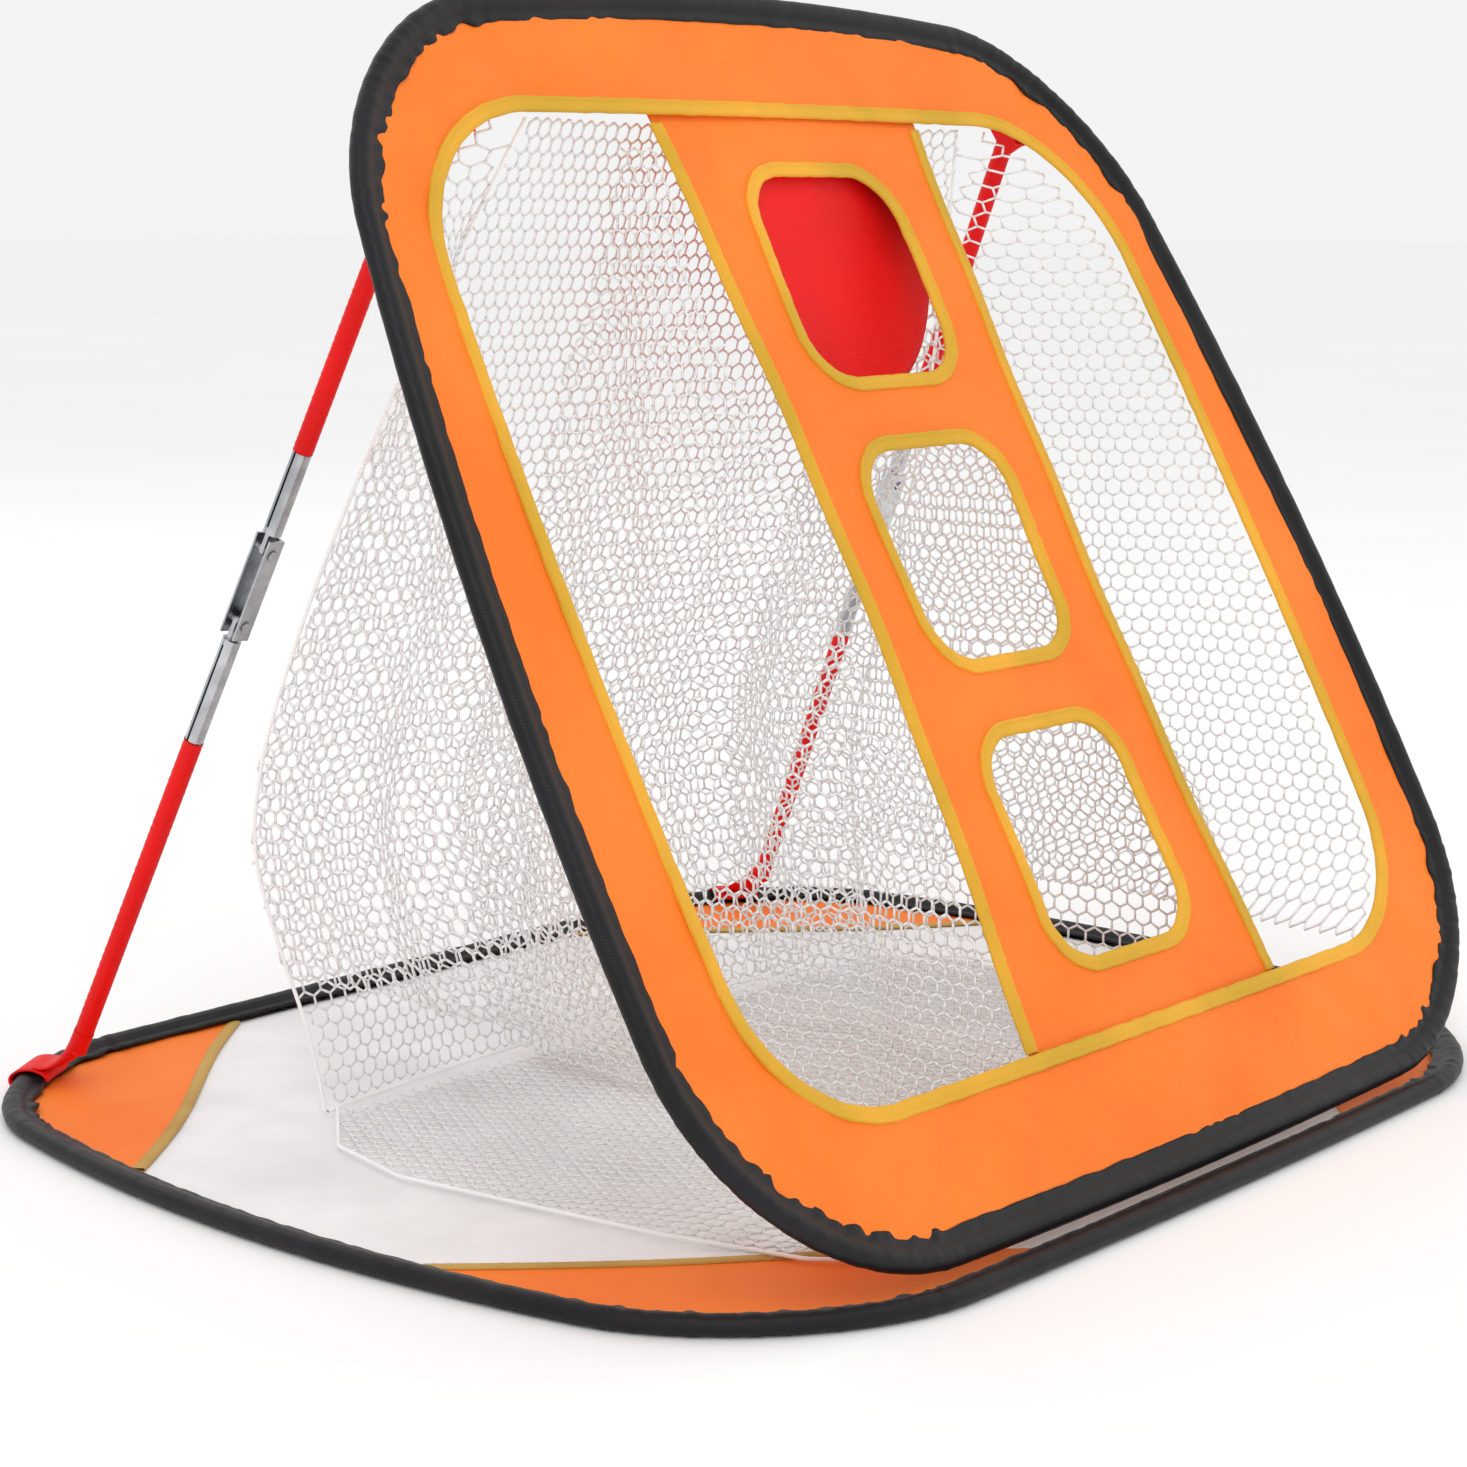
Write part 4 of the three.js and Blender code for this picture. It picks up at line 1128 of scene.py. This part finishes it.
# ------------------------------------------------------------------ studio
ground_material, ground_nodes, ground_links, ground_shader = new_material("pale_studio_floor")
ground_colour, _ = mottled(ground_nodes, ground_links, srgb(252, 252, 252), srgb(254, 254, 254), 2.0)
ground_links.new(ground_colour, ground_shader.inputs["Base Color"])
ground_shader.inputs["Roughness"].default_value = 0.9
FLOOR_REACH = 30000
ground = mesh_object(
    "studio_floor",
    [[x * FLOOR_REACH, y * FLOOR_REACH, 0] for x, y in ((-1, -1), (1, -1), (1, 1), (-1, 1))],
    [[0, 1, 2, 3]],
    ground_material,
    smooth=False,
)


def area_light(name, place, aim, size, power):
    """A soft square lamp at a place, pointing at a spot."""
    data = bpy.data.lights.new(name, "AREA")
    data.energy = power
    data.size = size
    obj = bpy.data.objects.new(name, data)
    bpy.context.scene.collection.objects.link(obj)
    direction = Vector(aim) - Vector(place)
    obj.rotation_euler = direction.to_track_quat("-Z", "Y").to_euler()
    obj.location = place
    return obj


LAMP_AIM = (0, 0.25, 0.2)
lamps = [
    area_light("key_lamp", (-1.6, -1.4, 2.6), LAMP_AIM, 1.6, 20),
    area_light("fill_lamp", (2.2, -1.2, 1.6), LAMP_AIM, 2.0, 6),
    area_light("back_lamp", (0.3, 2.6, 2.0), LAMP_AIM, 2.0, 6),
]
world = bpy.data.worlds.new("studio")
bpy.context.scene.world = world
world.use_nodes = True
world.node_tree.nodes["Background"].inputs[0].default_value = (1.0, 1.0, 1.0, 1.0)
world.node_tree.nodes["Background"].inputs[1].default_value = 0.9

# ------------------------------------------------------------------ camera
# It looks along AZIMUTH and ELEVATION towards AIM from DISTANCE metres; the shifts slide the frame.
AZIMUTH, ELEVATION = np.radians(-47.222), np.radians(7.171)
AIM = np.array([-0.01031, 0.32897, 0.23191])
DISTANCE, SENSOR_MM, LENS_MM = 1.446, 36.0, 73.0994
SHIFT_X, SHIFT_Y = 0.065576, -0.104022
sa, ca, se, ce = np.sin(AZIMUTH), np.cos(AZIMUTH), np.sin(ELEVATION), np.cos(ELEVATION)
backward = np.array([sa * ce, -ca * ce, se])
right = np.array([ca, sa, 0.0])
up_axis = np.cross(backward, right)
camera_data = bpy.data.cameras.new("camera")
camera_data.sensor_width = SENSOR_MM
camera_data.lens = LENS_MM
camera_data.shift_x = SHIFT_X
camera_data.shift_y = SHIFT_Y
camera_data.clip_start = 0.01
camera = bpy.data.objects.new("camera", camera_data)
bpy.context.scene.collection.objects.link(camera)
place = AIM + backward * DISTANCE
camera.matrix_world = Matrix(
    [[*map(float, (right[k], up_axis[k], backward[k], place[k]))] for k in range(3)] + [[0, 0, 0, 1]]
)
bpy.context.scene.camera = camera
bpy.context.scene.view_settings.view_transform = "Standard"
